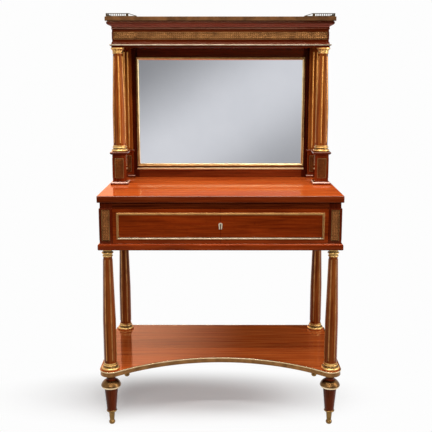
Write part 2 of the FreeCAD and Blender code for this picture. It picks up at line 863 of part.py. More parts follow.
def shelf():
    """The shelf board with its spigot holes, and the brass band round its edge."""
    holes = [(*corner_place(signs), "bore_radius") for signs in CORNERS.values()]
    keep(plate("shelf_board", shelf_path("band_thickness"), "shelf_bottom", "shelf_top", holes),
         "shelf_board")
    band = doc.addObject("PartDesign::Body", "shelf_edge_band")
    flat = sketch_on(band, "XY_Plane", "outlines", "shelf_bottom")
    outline(flat, shelf_path("0"))
    outline(flat, shelf_path("band_thickness"))
    pad(band, flat, "shelf_thickness")
    keep(band, "shelf_edge_band")


# Apron

def spigot_holes(low, high):
    """Holes for the spigots of the four lower columns."""
    return [rod("spigot_hole", *corner_place(signs), (low, high), "bore_radius")
            for signs in CORNERS.values()]


def tenon_ends(name, x, y, z, along, extra="0"):
    """Tenons on both ends of a rail, or their mortises where extra makes them larger."""
    grown = {"x": x, "y": y, "z": z}
    for axis in "xyz":
        low, high = grown[axis]
        stretch = f"tenon_length + ({extra})" if axis == along else extra
        grown[axis] = (f"({low}) - ({stretch})", f"({high}) + ({stretch})")
    return board(name, grown["x"], grown["y"], grown["z"])


def rail_tenon(side, axis):
    """Ranges of a side or back rail's tenon, in thickness, length and height."""
    face = "apron_side" if axis == "y" else "apron_front"
    middle = f"{face} - rail_thickness / 2"
    thick = mirrored(side, *about(middle, "tenon_thickness"))
    length = "die_inner_front" if axis == "y" else "die_inner_side"
    span = (f"-({length})", length)
    height = ("apron_bottom + tenon_margin", "apron_top - tenon_margin")
    return (thick, span, height) if axis == "y" else (span, thick, height)


def top_rail_tenon():
    """Ranges of the tenon of the rail above the drawer."""
    middle = "-(apron_front - neck_inset - top_rail_width / 2)"
    height = about("(apron_top + top_underside) / 2", "tenon_thickness")
    return (("-die_inner_side", "die_inner_side"), about(middle, "top_rail_width / 2"), height)


def apron_rail(name, side, axis):
    """A rail flush with the posts, with its neck drawn in above and tenons on its ends."""
    face = "apron_side" if axis == "y" else "apron_front"
    inner = f"{face} - rail_thickness"
    length = "die_inner_front" if axis == "y" else "die_inner_side"
    span = (f"-({length})", length)
    blocks = []
    for outer, height in ((face, ("apron_bottom", "apron_top")),
                          (f"{face} - neck_inset", ("apron_top", "top_underside"))):
        thick = mirrored(side, inner, outer)
        ranges = (thick, span, height) if axis == "y" else (span, thick, height)
        blocks.append(board("rail", *ranges))
    blocks.append(tenon_ends("tenon", *rail_tenon(side, axis), axis))
    return keep(fuse(blocks), name)


def apron():
    """Corner posts, rails, moulding frame and drawer runners."""
    mortises = [tenon_ends("mortise", *rail_tenon(side, "y"), "y", "fit") for side in SIDES.values()]
    mortises.append(tenon_ends("mortise", *rail_tenon(1, "x"), "x", "fit"))
    mortises.append(tenon_ends("mortise", *top_rail_tenon(), "x", "fit"))
    mortises += spigot_holes("apron_bottom - overrun", "apron_bottom + spigot_depth")
    joints = group(mortises, "post_joints")
    for corner, (sx, sy) in CORNERS.items():
        die = board("die", mirrored(sx, "die_inner_side", "apron_side"),
                    mirrored(sy, "die_inner_front", "apron_front"), ("apron_bottom", "apron_top"))
        neck = board("neck", mirrored(sx, "die_inner_side", "apron_side - neck_inset"),
                     mirrored(sy, "die_inner_front", "apron_front - neck_inset"),
                     ("apron_top", "top_underside"))
        keep(cut(fuse([die, neck]), [joints]), f"post_{corner}")
    apron_rail("side_rail_left", -1, "y")
    apron_rail("side_rail_right", 1, "y")
    apron_rail("back_rail", 1, "x")
    front = "-(apron_front - neck_inset)"
    beam = board("beam", ("-die_inner_side", "die_inner_side"), (front, f"{front} + top_rail_width"),
                 ("apron_top", "top_underside"))
    bolt_hole = board("bolt_mortise", about("0", "bolt_width + 2 * bolt_gap"),
                      ("-bolt_back - bolt_thickness - bolt_gap", "-bolt_back + bolt_gap"),
                      ("apron_top - overrun", "bolt_top + bolt_travel + drawer_gap"))
    tenon = tenon_ends("tenon", *top_rail_tenon(), "x")
    keep(cut(fuse([beam, tenon]), [bolt_hole]), "drawer_top_rail")
    apron_moulding()
    runners()


def apron_moulding():
    """The mitred moulding frame under the apron."""
    path = [
        line_to("0", "moulding_bottom"),
        line_to("moulding_width - moulding_bevel / 2", "moulding_bottom"),
        line_to("moulding_width", "moulding_bottom + moulding_bevel / 2"),
        line_to("moulding_width", "apron_bottom - moulding_bevel"),
        line_to("moulding_width - moulding_bevel", "apron_bottom"),
        line_to("0", "apron_bottom"),
    ]
    holes = group(spigot_holes("moulding_bottom - overrun", "apron_bottom + overrun"), "frame_holes")
    lengths = []
    for degrees, half, seat in (
        (180, "moulding_inner_side", ("0", "-moulding_inner_front", "0")),
        (0, "moulding_inner_side", ("0", "moulding_inner_front", "0")),
        (90, "moulding_inner_front", ("-moulding_inner_side", "0", "0")),
        (-90, "moulding_inner_front", ("moulding_inner_side", "0", "0")),
    ):
        length = mitred("frame_length", path, f"-({half})", half, "moulding_width", (True, True),
                        turn("z", degrees), seat)
        lengths.append(cut(length, [holes]))
    keep(group(lengths), "apron_moulding")


def runners():
    """Runners that carry the drawer, guides beside it and kickers above its sides."""
    pieces = []
    length = ("-moulding_inner_front", "moulding_inner_front")
    for side in SIDES.values():
        pieces.append(board("runner", mirrored(side, "moulding_inner_side - runner_width",
                                               "moulding_inner_side"),
                            length, ("apron_bottom - runner_thickness", "apron_bottom")))
        pieces.append(board("guide", mirrored(side, "drawer_side_outer + slide_gap", "die_inner_side"),
                            ("-(drawer_inner - drawer_gap)", "apron_front - rail_thickness"),
                            ("apron_bottom", "apron_bottom + guide_height")))
        pieces.append(board("kicker", mirrored(side, "drawer_side_inner - slide_gap",
                                               "drawer_side_outer + slide_gap"),
                            ("-(apron_front - neck_inset - top_rail_width)",
                             "apron_front - rail_thickness"),
                            ("drawer_side_top + 2 * slide_gap", "top_underside")))
    keep(group(pieces), "drawer_runners")


def table_top():
    """The top board with rounded edges and the mortises of the parts that stand on it."""
    half_width, half_depth = "top_width / 2", "top_depth / 2"
    body = doc.addObject("PartDesign::Body", "top")
    flat = sketch_on(body, "XY_Plane", "outline", "top_underside")
    outline(flat, [
        line_to(half_width, f"-{half_depth}"),
        line_to(half_width, half_depth),
        line_to(f"-{half_width}", half_depth),
        line_to(f"-{half_width}", f"-{half_depth}"),
    ])
    solid = pad(body, flat, "top_thickness")
    doc.recompute()
    rounded = [f"Edge{number}" for number, edge in enumerate(solid.Shape.Edges, 1)
               if edge.CenterOfMass.y < value(half_depth) - value("overrun")]
    soft = body.newObject("PartDesign::Fillet", "soft_edges")
    soft.Base = (solid, rounded)
    bind(soft, "Radius", "top_edge_round")
    mortises = [rod("pedestal_mortise", f"{side} * upper_axis_side", "upper_axis_back",
                    ("top_height - pedestal_tenon_depth - fit", "top_height + overrun"),
                    "pedestal_tenon_radius + fit") for side in SIDES.values()]
    mortises += [stile_tenon(side, "fit") for side in SIDES.values()]
    keep(cut(body, mortises), "table_top")


# Drawer

def drawer():
    """Front, sides, back and bottom, with the bead frame, escutcheon, lock case and bolt."""
    side_reach = "-(apron_front - drawer_lap)"
    side_height = ("drawer_side_foot", "drawer_side_top")
    front = board("front", ("-drawer_half", "drawer_half"), ("-apron_front", "-drawer_inner"),
                  ("drawer_foot", "drawer_head"))
    slots = [board("side_slot", mirrored(side, "drawer_side_inner - fit", "drawer_side_outer + fit"),
                   (f"{side_reach} - fit", "-drawer_inner + overrun"),
                   ("drawer_foot - overrun", "drawer_side_top + fit")) for side in SIDES.values()]
    groove = drawer_bottom_board("bottom_groove", "fit")
    keep(cut(front, [*slots, groove, keyhole()]), "drawer_front")
    back_reach = "drawer_side_inner + drawer_groove"
    back = {"y": ("drawer_back_face", "drawer_back_end"), "z": ("drawer_floor_top", "drawer_side_top")}
    for name, side in SIDES.items():
        wall = board("side", mirrored(side, "drawer_side_inner", "drawer_side_outer"),
                     (side_reach, "drawer_back_end + drawer_gap"), side_height)
        housing = board("back_housing", (f"-({back_reach} + fit)", f"{back_reach} + fit"),
                        (f"{back['y'][0]} - fit", f"{back['y'][1]} + fit"),
                        (f"{back['z'][0]} - fit", f"{back['z'][1]} + overrun"))
        keep(cut(wall, [drawer_bottom_board("side_groove", "fit"), housing]), f"drawer_side_{name}")
    keep(board("back", (f"-({back_reach})", back_reach), back["y"], back["z"]), "drawer_back")
    keep(drawer_bottom_board("bottom", "0"), "drawer_bottom")
    drawer_brass()


def drawer_bottom_board(name, extra):
    """The drawer's bottom, or its groove where extra makes it larger."""
    reach = f"drawer_side_inner + drawer_groove + ({extra})"
    return board(name, (f"-({reach})", reach),
                 (f"-(drawer_inner + drawer_groove) - ({extra})", f"drawer_back_end + ({extra})"),
                 (f"drawer_floor - ({extra})", f"drawer_floor_top + ({extra})"))


def keyhole():
    """The keyhole through the drawer front."""
    body = doc.addObject("PartDesign::Body", "keyhole")
    face = sketch_on(body, "XZ_Plane", "outline", "drawer_inner - overrun")
    outline(face, keyhole_path(f"keyhole_height - escutcheon_height * {KEYHOLE_DROP_SHARE}"))
    pad(body, face, "drawer_front_thickness + 2 * overrun")
    return body


def keyhole_path(bottom):
    """A round hole with a slot below it, down to a height."""
    half = "keyhole_slot / 2"
    shoulder = "keyhole_height - sqrt(keyhole_radius ^ 2 - (keyhole_slot / 2) ^ 2)"
    return [
        line_to(f"-{half}", bottom),
        line_to(half, bottom),
        line_to(half, shoulder),
        arc_to(f"-{half}", shoulder, "left", centre_y="keyhole_height"),
    ]


def drawer_brass():
    """The bead frame, the escutcheon, the lock case and its bolt."""
    flat, shoulder = (f"bead_height * {part}" for part in BEAD_EDGE_SHARES)
    start, dip = (f"bead_width * {part}" for part in BEAD_ROUND_SHARES)
    path = [
        line_to("0", "0"),
        line_to("bead_width", "0"),
        line_to("bead_width", shoulder),
        arc_to(start, shoulder, "left", centre_y=f"{shoulder} - {dip}"),
        line_to("0", flat),
    ]
    half_width = "drawer_half - bead_margin - bead_width"
    half_height = "(drawer_head - drawer_foot) / 2 - bead_margin - bead_width"
    middle = ("0", "-apron_front", "(drawer_head + drawer_foot) / 2")
    keep(group(four_sided("bead", path, half_width, half_height, "bead_width", middle)),
         "drawer_bead_frame")
    body = doc.addObject("PartDesign::Body", "escutcheon")
    face = sketch_on(body, "XZ_Plane", "outline", "apron_front")
    half, slot = "escutcheon_width / 2", "keyhole_slot / 2"
    foot = f"escutcheon_width * {ESCUTCHEON_FOOT_SHARE}"
    bottom = f"keyhole_height - escutcheon_height * {ESCUTCHEON_DROP_SHARE}"
    shoulder = "keyhole_height - sqrt(keyhole_radius ^ 2 - (keyhole_slot / 2) ^ 2)"
    outline(face, [
        line_to(f"-{foot}", bottom),
        line_to(f"-{slot}", bottom),
        line_to(f"-{slot}", shoulder),
        arc_to(slot, shoulder, "right", centre_y="keyhole_height"),
        line_to(slot, bottom),
        line_to(foot, bottom),
        line_to(half, "keyhole_height"),
        arc_to(f"-{half}", "keyhole_height", "left", centre_y="keyhole_height"),
    ])
    pad(body, face, "escutcheon_thickness")
    keep(body, "escutcheon")
    case = board("case", about("0", "lock_width"), ("-drawer_inner", "-drawer_inner + lock_thickness"),
                 ("lock_bottom", "lock_top"))
    bolt_depth = ("-bolt_back - bolt_thickness", "-bolt_back")
    bolt_room = board("bolt_room", about("0", "bolt_width + 2 * bolt_gap"),
                      (f"{bolt_depth[0]} - bolt_gap", f"{bolt_depth[1]} + bolt_gap"),
                      ("bolt_top - bolt_length - bolt_gap", "lock_top + overrun"))
    keep(cut(case, [bolt_room]), "lock_case")
    keep(board("bolt", about("0", "bolt_width"), bolt_depth, ("bolt_top - bolt_length", "bolt_top")),
         "lock_bolt")


# Pedestals, columns and pilasters of the upper part

def upper_axis(side):
    """The axis of an upper column."""
    return (f"{side} * upper_axis_side", "upper_axis_back")


def pedestals():
    """Front pedestals and pilaster pedestals with their base and cap mouldings."""
    mouldings, backs = [], []
    half = "pedestal_width / 2"
    spread = "(pedestal_width + 2 * pedestal_reach)"
    foot = ("top_height", "pedestal_base_top")
    levels = (("top", foot, foot),
              ("bottom", ("pedestal_die_top", "pedestal_top"), ("pilaster_die_top", "pilaster_foot")))
    for name, side in SIDES.items():
        x, y = upper_axis(side)
        die = board("die", about(x, "pedestal_width"), (f"{y} - {half}", f"{y} + {half}"),
                    ("pedestal_base_top", "pedestal_die_top"))
        tenon = rod("tenon", x, y, ("top_height - pedestal_tenon_depth", "pedestal_base_top + overrun"),
                    "pedestal_tenon_radius")
        bore = rod("bore", x, y, ("pedestal_die_top - spigot_depth", "pedestal_top + overrun"),
                   "bore_radius")
        keep(cut(fuse([die, tenon]), [bore]), f"pedestal_{name}")
        bores = rod("moulding_bore", x, y, ("top_height - overrun", "pedestal_top + overrun"),
                    "pedestal_tenon_radius + fit")
        for rim, height, pilaster_height in levels:
            square = block("moulding", about(x, spread), about(y, spread), height, "pedestal_chamfer", rim)
            mouldings.append(cut(square, [bores]))
            slab = block("moulding", about(x, "pilaster_pedestal_width + 2 * pilaster_reach"),
                         ("wall_front - pilaster_pedestal_thickness - pilaster_reach", "wall_front"),
                         pilaster_height, "pilaster_reach / 2", rim)
            mouldings.append(slab)
        backs.append(board("pilaster_die", about(x, "pilaster_pedestal_width"),
                           ("wall_front - pilaster_pedestal_thickness", "wall_front"),
                           ("pedestal_base_top", "pilaster_die_top")))
    keep(group(mouldings), "pedestal_mouldings")
    keep(group(backs), "pilaster_pedestals")


def upper_columns():
    """Upper shafts with their bases, capitals and fillets, and the pilasters behind them."""
    bases, capitals, rods, flats = [], [], [], []
    run = flute_run("upper_foot", "upper_head", "upper_bottom_radius", "upper_top_radius")
    base = ring_base_outline("pedestal_top", "upper_base_height", "upper_bottom_radius",
                             "upper_torus_reach")
    capital = upper_capital_outline("upper_head", "upper_capital_height", "upper_top_radius",
                                    "upper_abacus_reach")
    spigot_foot = "pedestal_die_top - spigot_depth + fit"
    shaft = [
        line_to("0", spigot_foot),
        line_to("spigot_radius", spigot_foot),
        line_to("spigot_radius", "upper_foot"),
        line_to("upper_bottom_radius", "upper_foot"),
        line_to("upper_bottom_radius", taper_start("upper_foot", "upper_head")),
        line_to("upper_top_radius", "upper_head"),
        line_to("spigot_radius", "upper_head"),
        line_to("spigot_radius", "soffit + upper_spigot_depth - fit"),
        line_to("0", "soffit + upper_spigot_depth - fit"),
    ]
    face = "wall_front - pilaster_thickness"
    rod_ends = ("pilaster_foot + flute_end_gap + fillet_radius", "soffit - flute_end_gap - fillet_radius")
    for name, side in SIDES.items():
        x, y = upper_axis(side)
        facing = turn("z", side * value("upper_flute_turn"))
        column = turned(f"upper_column_{name}", shaft, x, y)
        flute(column, run, "fillet_radius + fit / 2")
        keep(place(column, x, y, rotation=facing), f"upper_column_{name}")
        bases.append(turned("upper_base", base, x, y))
        capitals.append(turned("upper_capital", capital, x, y))
        rods.append(place(fillets("upper_fillet", run, "fillet_radius", x, y), x, y, rotation=facing))
        grooves = []
        for step in (-1, 0, 1):
            spot = f"({x}) + {step} * pilaster_fillet_pitch"
            rods.append(upright_fillet(spot, f"{face} + fillet_sink", rod_ends, "fillet_radius"))
            grooves.append(upright_fillet(spot, f"{face} + fillet_sink", rod_ends,
                                          "fillet_radius + fit / 2"))
        slab = board("pilaster", about(x, "pilaster_width"), (face, "wall_front"),
                     ("pilaster_foot", "soffit"))
        flats.append(cut(slab, grooves))
    keep(group(bases), "upper_column_bases")
    keep(group(capitals), "upper_capitals")
    keep(group(rods), "upper_fillets")
    keep(group(flats), "pilasters")


def upright_fillet(x, y, ends, radius):
    """A round-ended upright rod."""
    body = doc.addObject("PartDesign::Body", "upright_fillet")
    sketch = capsule(body, ("0", ends[0]), ("0", ends[1]), radius)
    solid = body.newObject("PartDesign::Revolution", "fillet")
    solid.Profile = sketch
    solid.ReferenceAxis = (sketch, ["Axis0"])
    solid.Angle = 360
    return place(body, x, y)


def plaques():
    """Milled brass plaques on the posts and on both kinds of pedestal."""
    plates = []
    post_height = ("apron_bottom + plaque_foot", "apron_top - plaque_head")
    for sx, sy in CORNERS.values():
        middle = corner_place((sx, sy))
        if sy < 0:
            plates.append(board("plaque", about(middle[0], "die_width - 2 * plaque_margin"),
                                ("-apron_front - plaque_thickness", "-apron_front"), post_height))
        plates.append(board("plaque", mirrored(sx, "apron_side", "apron_side + plaque_thickness"),
                            about(middle[1], "die_depth - 2 * plaque_margin"), post_height))
    die_foot = "pedestal_base_top + plaque_rise"
    die_height = (die_foot, "pedestal_die_top - plaque_rise")
    outer = "upper_axis_side + pedestal_width / 2"
    back_face = "wall_front - pilaster_pedestal_thickness"
    for side in SIDES.values():
        x, y = upper_axis(side)
        width = "pedestal_width - 2 * plaque_margin"
        plates.append(board("plaque", about(x, width),
                            ("pedestal_front - plaque_thickness", "pedestal_front"), die_height))
        plates.append(board("plaque", mirrored(side, outer, f"{outer} + plaque_thickness"),
                            about(y, width), die_height))
        plates.append(board("plaque", about(x, "pilaster_pedestal_width - 2 * plaque_margin"),
                            (f"{back_face} - plaque_thickness", back_face),
                            (die_foot, "pilaster_die_top - plaque_rise")))
    keep(group(plates), "milled_plaques")


# Mirror wall

def stile_tenon(side, extra):
    """The tenon of a mirror stile in the table top, or its mortise where extra makes it larger."""
    return board("stile_tenon",
                 mirrored(side, f"mirror_half + tenon_margin - ({extra})",
                          f"wall_side - tenon_margin + ({extra})"),
                 (f"wall_front + (wall_thickness - tenon_thickness) / 2 - ({extra})",
                  f"wall_back - (wall_thickness - tenon_thickness) / 2 + ({extra})"),
                 (f"top_height - wall_tenon - ({extra})", "top_height + overrun"))


def rail_ranges(rail):
    """Height range of a mirror rail."""
    return ("top_height", "mirror_bottom") if rail == "bottom" else ("mirror_top", "soffit")


def mirror_rail_tenon(rail, extra="0"):
    """The tenons of a mirror rail, or their mortises where extra makes them larger."""
    low, high = rail_ranges(rail)
    return tenon_ends("rail_tenon", ("-mirror_half", "mirror_half"),
                      about("(wall_front + wall_back) / 2", "tenon_thickness"),
                      (f"({low}) + tenon_thickness", f"({high}) - tenon_thickness"), "x", extra)


def mirror_wall():
    """Stiles, rails, back board, mirror glass and its brass frame."""
    depth = ("wall_front", "wall_back")
    joints = group([mirror_rail_tenon(rail, "fit") for rail in ("bottom", "top")], "stile_joints")
    for name, side in SIDES.items():
        stile = board("stile", mirrored(side, "mirror_half", "wall_side"), depth, ("top_height", "soffit"))
        keep(cut(fuse([stile, stile_tenon(side, "0")]), [joints]), f"mirror_stile_{name}")
    for rail in ("bottom", "top"):
        beam = board("rail", ("-mirror_half", "mirror_half"), depth, rail_ranges(rail))
        keep(fuse([beam, mirror_rail_tenon(rail)]), f"mirror_{rail}_rail")
    opening = (("-mirror_half + fit", "mirror_half - fit"), ("mirror_bottom + fit", "mirror_top - fit"))
    glass_back = "wall_front + fit + glass_thickness"
    keep(board("glass", opening[0], ("wall_front + fit", glass_back), opening[1]), "mirror_glass")
    keep(board("backing", opening[0], (f"{glass_back} + fit", f"{glass_back} + fit + back_board_thickness"),
               opening[1]), "back_board")
    mirror_frame()


def mirror_frame():
    """The mitred brass frame round the glass and the strip below it."""
    low, crest, outer = (f"frame_height * {part}" for part in FRAME_RISE_SHARES)
    inner_reach, crest_reach = (f"frame_width * {part}" for part in FRAME_REACH_SHARES)
    path = [
        line_to("0", "0"),
        line_to("frame_width", "0"),
        line_to("frame_width", outer),
        line_to(crest_reach, "frame_height"),
        line_to(inner_reach, crest),
        line_to("0", low),
    ]
    half_width = "mirror_half - frame_lip"
    half_height = "(mirror_top - mirror_bottom) / 2 - frame_lip"
    lengths = four_sided("frame", path, half_width, half_height, "frame_width",
                         ("0", "wall_front", "mirror_middle"))
    sill_top = "mirror_bottom + frame_lip - frame_width - sill_gap"
    reach = f"{half_width} + frame_width"
    lengths.append(board("sill", (f"-({reach})", reach), ("wall_front - sill_thickness", "wall_front"),
                         (f"{sill_top} - sill_height", sill_top)))
    keep(group(lengths), "mirror_frame")


# Entablature

def entablature():
    """Soffit, frieze boards, mouldings, top board, brass strips and gallery."""
    width = ("-frieze_half", "frieze_half")
    depth = ("frieze_front", "wall_back")
    board_height = ("soffit + soffit_thickness", "cornice_top - soffit_thickness")
    holes = [rod("spigot_hole", *upper_axis(side), ("soffit - overrun", "soffit + upper_spigot_depth"),
                 "bore_radius") for side in SIDES.values()]
    keep(cut(board("soffit", width, depth, ("soffit", "soffit + soffit_thickness")), holes), "soffit_board")
    keep(board("cover", width, depth, ("cornice_top - soffit_thickness", "cornice_top")), "top_board")
    boards = [board("frieze_face", width, ("frieze_front", "frieze_front + frieze_board"), board_height)]
    for side in SIDES.values():
        boards.append(board("frieze_side", mirrored(side, "frieze_half - frieze_board", "frieze_half"),
                            ("frieze_front + frieze_board", "wall_back"), board_height))
    boards.append(board("frieze_back", ("-frieze_half + frieze_board", "frieze_half - frieze_board"),
                        ("wall_back - frieze_board", "wall_back"), board_height))
    keep(group(boards), "frieze_boards")
    mouldings()
    strips()
    gallery()


def mouldings():
    """The architrave and cornice mouldings, mitred at the front corners."""
    rise = [share("soffit", "architrave_height", part) for part in ARCHITRAVE_RISE_SHARES]
    reach = [f"architrave_reach * {part}" for part in ARCHITRAVE_REACH_SHARES]
    architrave = [
        line_to("0", "soffit"),
        line_to(reach[0], "soffit"),
        line_to(reach[0], rise[0]),
        line_to(reach[1], rise[1]),
        line_to(reach[1], rise[2]),
        line_to(reach[2], rise[2]),
        arc_to(reach[3], rise[3], "right", centre_y=rise[3]),
        line_to(reach[3], "frieze_bottom"),
        line_to("0", "frieze_bottom"),
    ]
    keep(group(three_sided("architrave", architrave, "frieze_half", "frieze_front", "wall_back",
                           "architrave_reach")), "architrave_moulding")
    rise = [share("cornice_bottom", "cornice_height", part) for part in CORNICE_RISE_SHARES]
    reach = [f"cornice_reach * {part}" for part in CORNICE_REACH_SHARES]
    cornice = [
        line_to("0", "cornice_bottom"),
        line_to(reach[0], "cornice_bottom"),
        line_to(reach[0], rise[0]),
        arc_to(reach[1], rise[1], "right", centre_x=reach[1]),
        line_to(reach[2], rise[1]),
        line_to(reach[2], rise[2]),
        arc_to(reach[3], rise[3], "left", centre_x=reach[2]),
        line_to(reach[4], rise[3]),
        line_to(reach[4], rise[4]),
        line_to("cornice_reach", rise[4]),
        line_to("cornice_reach", "cornice_top"),
        line_to("0", "cornice_top"),
    ]
    keep(group(three_sided("cornice", cornice, "frieze_half", "frieze_front", "wall_back",
                           "cornice_reach")), "cornice_moulding")


def strips():
    """Milled brass strips let onto the frieze, along the front and both sides."""
    height = about("(frieze_bottom + cornice_bottom) / 2", "strip_height")
    plates = [board("strip", ("-frieze_half + strip_end_gap", "frieze_half - strip_end_gap"),
                    ("frieze_front - strip_thickness", "frieze_front"), height)]
    for side in SIDES.values():
        plates.append(board("strip", mirrored(side, "frieze_half", "frieze_half + strip_thickness"),
                            ("frieze_front + strip_end_gap", "wall_back - strip_end_gap"), height))
    keep(group(plates), "frieze_strips")


def gallery_run(name, length, slope, rotation, spot):
    """A pierced brass strip along local X from zero, whose end slopes down where slope is given."""
    body = doc.addObject("PartDesign::Body", name)
    face = sketch_on(body, "XZ_Plane", "outline")
    rim = f"({length}) - ({slope})"
    path = [
        line_to("0", "0"),
        line_to(length, "0"),
        line_to(length, "gallery_rail"),
        line_to(rim, "gallery_height"),
        line_to("0", "gallery_height"),
    ]
    if slope == "0":
        path.pop(2)
    outline(face, path)
    pad(body, face, "gallery_thickness")
    doc.recompute()
    low, high = "gallery_rail", "gallery_height - gallery_rail"
    if slope != "0":
        reach = f"({slope}) * (({high}) - ({low})) / ({high})"
        corner = sketch_on(body, "XZ_Plane", "slope_window")
        outline(corner, [line_to(rim, low), line_to(f"{rim} + {reach}", low), line_to(rim, high)])
        pocket_through(body, corner)
        doc.recompute()
    window = sketch_on(body, "XZ_Plane", "window")
    near, far = "gallery_bar", "gallery_bar + gallery_window"
    outline(window, [line_to(near, low), line_to(far, low), line_to(far, high), line_to(near, high)])
    opening = pocket_through(body, window)
    row = body.newObject("PartDesign::LinearPattern", "row")
    row.Originals = [opening]
    row.Direction = (window, ["H_Axis"])
    count = f"floor(({rim} - gallery_bar) / gallery_pitch)"
    bind(row, "Occurrences", count)
    bind(row, "Length", f"({count} - 1) * gallery_pitch")
    body.Tip = row
    return place(body, *spot, rotation=rotation)


def gallery():
    """The low brass gallery: two sides, the back and two short front returns with sloped ends."""
    inner = "(gallery_side - gallery_thickness)"
    depth = "(wall_back - gallery_inset) - gallery_front"
    runs = [
        gallery_run("gallery_left", depth, "0", turn("z", 90),
                    (f"-{inner} - gallery_thickness", "gallery_front", "cornice_top")),
        gallery_run("gallery_right", depth, "0", turn("z", 90), (inner, "gallery_front", "cornice_top")),
        gallery_run("gallery_back", f"2 * {inner}", "0", turn("z", 0),
                    (f"-{inner}", "wall_back - gallery_inset", "cornice_top")),
        gallery_run("gallery_return_left", "return_length + slope_length", "slope_length", turn("z", 0),
                    (f"-{inner}", "gallery_front + gallery_thickness", "cornice_top")),
        gallery_run("gallery_return_right", "return_length + slope_length", "slope_length",
                    turn("z", 180), (inner, "gallery_front", "cornice_top")),
    ]
    keep(group(runs), "gallery")


# Build, test and write

lower_turnings()
shelf()
apron()
table_top()
drawer()
pedestals()
upper_columns()
plaques()
mirror_wall()
entablature()
doc.recompute()

for item in doc.Objects:
    if "Invalid" in item.State or "Error" in item.State:
        raise RuntimeError(f"{item.Label} failed: {item.State}")
for node in NODES:
    if node.Shape.isNull() or not node.Shape.isValid():
        raise RuntimeError(f"{node.Label} has no valid shape")

os.makedirs("parts", exist_ok=True)
for node in NODES:
    node.Shape.exportStep(f"parts/{node.Label}.step")
print(f"{len(NODES)} sub-parts written")
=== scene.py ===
"""A pier table in polished mahogany and gilt brass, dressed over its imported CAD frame."""
import json
import logging
import math
from dataclasses import dataclass, replace
from enum import Enum
from typing import Any, Callable, Iterable, Sequence

import bpy
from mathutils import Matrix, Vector

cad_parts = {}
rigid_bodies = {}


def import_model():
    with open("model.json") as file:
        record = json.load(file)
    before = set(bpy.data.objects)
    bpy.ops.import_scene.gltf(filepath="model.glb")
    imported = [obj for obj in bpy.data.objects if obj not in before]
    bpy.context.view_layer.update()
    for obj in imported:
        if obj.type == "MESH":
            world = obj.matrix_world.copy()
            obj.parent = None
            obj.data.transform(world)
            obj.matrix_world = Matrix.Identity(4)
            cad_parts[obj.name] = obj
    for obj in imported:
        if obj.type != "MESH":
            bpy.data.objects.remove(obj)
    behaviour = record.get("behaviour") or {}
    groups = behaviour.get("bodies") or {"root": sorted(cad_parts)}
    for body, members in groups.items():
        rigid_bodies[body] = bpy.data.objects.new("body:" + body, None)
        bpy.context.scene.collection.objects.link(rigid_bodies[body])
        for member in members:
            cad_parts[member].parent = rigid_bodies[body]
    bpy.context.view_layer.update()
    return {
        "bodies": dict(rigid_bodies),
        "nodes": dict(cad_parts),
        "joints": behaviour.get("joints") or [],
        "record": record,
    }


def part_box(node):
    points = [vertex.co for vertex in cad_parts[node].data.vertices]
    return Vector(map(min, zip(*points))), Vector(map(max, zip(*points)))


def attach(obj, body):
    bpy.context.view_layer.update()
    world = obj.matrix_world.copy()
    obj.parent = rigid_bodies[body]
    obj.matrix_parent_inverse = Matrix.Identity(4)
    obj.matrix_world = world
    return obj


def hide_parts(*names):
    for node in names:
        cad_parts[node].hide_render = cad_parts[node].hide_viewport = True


LOG = logging.getLogger("pier_table")

# Sizes are written in millimetres, and Blender works in metres.
MM = 0.001
HALF = 0.5
WELD_MM = 0.01
SORT_DIGITS = 4
FLAT_ANGLE_DEG = 1
SMOOTH_ANGLE_DEG = 35
RIGHT_ANGLE_DEG = 90
# A face looks straight to one side if more than this share of its normal points there.
FACING_SHARE = 0.9
# A face is on a piece's side or underside if less than this share of its normal points up.
SIDE_SHARE = 0.5
# The rounding of a thin band takes up this share of its thickness.
ROUND_SHARE = 0.9
# A face of a milled plate larger than this share of a pyramid's square belongs to the plain rim.
RIM_FACE_SHARE = 1.5
LEAST_CELLS = 2
# Nearly all of a noise pattern lies between these levels.
NOISE_SHARES = (0.3, 0.7)
# The sRGB curve has a straight start and then a power with an offset.
SRGB_FULL = 255
SRGB_START = 0.04045
SRGB_SLOPE = 12.92
SRGB_OFFSET = 0.055
SRGB_POWER = 2.4


class Grain(Enum):
    """The direction that the wood's grain runs in."""

    ACROSS = 0
    DEEP = 1
    UPRIGHT = 2


class Facing(Enum):
    """The side that a flat mount looks to, as a turn about the upright axis in degrees."""

    FRONT = 0
    RIGHT = 90
    LEFT = -90


class CardFacing(Enum):
    """The side that a card in the studio looks to, as the sign of its quarter turn from lying flat."""

    FRONT = 1
    BACK = -1


# Small tools

def linear(code: str) -> tuple[float, float, float, float]:
    """Turn an sRGB hex colour into linear light.

    Args:
        code: The colour as six hex digits after a hash.

    Returns:
        Red, green, blue and a full alpha.
    """
    levels = [int(code[start:start + 2], 16) / SRGB_FULL for start in (1, 3, 5)]
    light = [level / SRGB_SLOPE if level <= SRGB_START
             else ((level + SRGB_OFFSET) / (1 + SRGB_OFFSET)) ** SRGB_POWER for level in levels]
    return (*light, 1.0)


def add_node(tree: bpy.types.NodeTree, kind: str, inputs: dict[Any, Any] | None = None,
             **settings: Any) -> bpy.types.Node:
    """Add a node, with its settings, its values and its links.

    Args:
        tree: The material's or world's node tree.
        kind: Blender's name of the node.
        inputs: Values or sockets by the input's name or number.
        **settings: The node's own properties.

    Returns:
        The new node.
    """
    node = tree.nodes.new(kind)
    for name, setting in settings.items():
        setattr(node, name, setting)
    for key, given in (inputs or {}).items():
        if isinstance(given, bpy.types.NodeSocket):
            tree.links.new(given, node.inputs[key])
        else:
            node.inputs[key].default_value = given
    return node


def ends(side: str, pair: Sequence[float]) -> dict[str, float]:
    """Name the low and the high end of a range on its "From" or its "To" side."""
    return {f"{side} Min": pair[0], f"{side} Max": pair[1]}


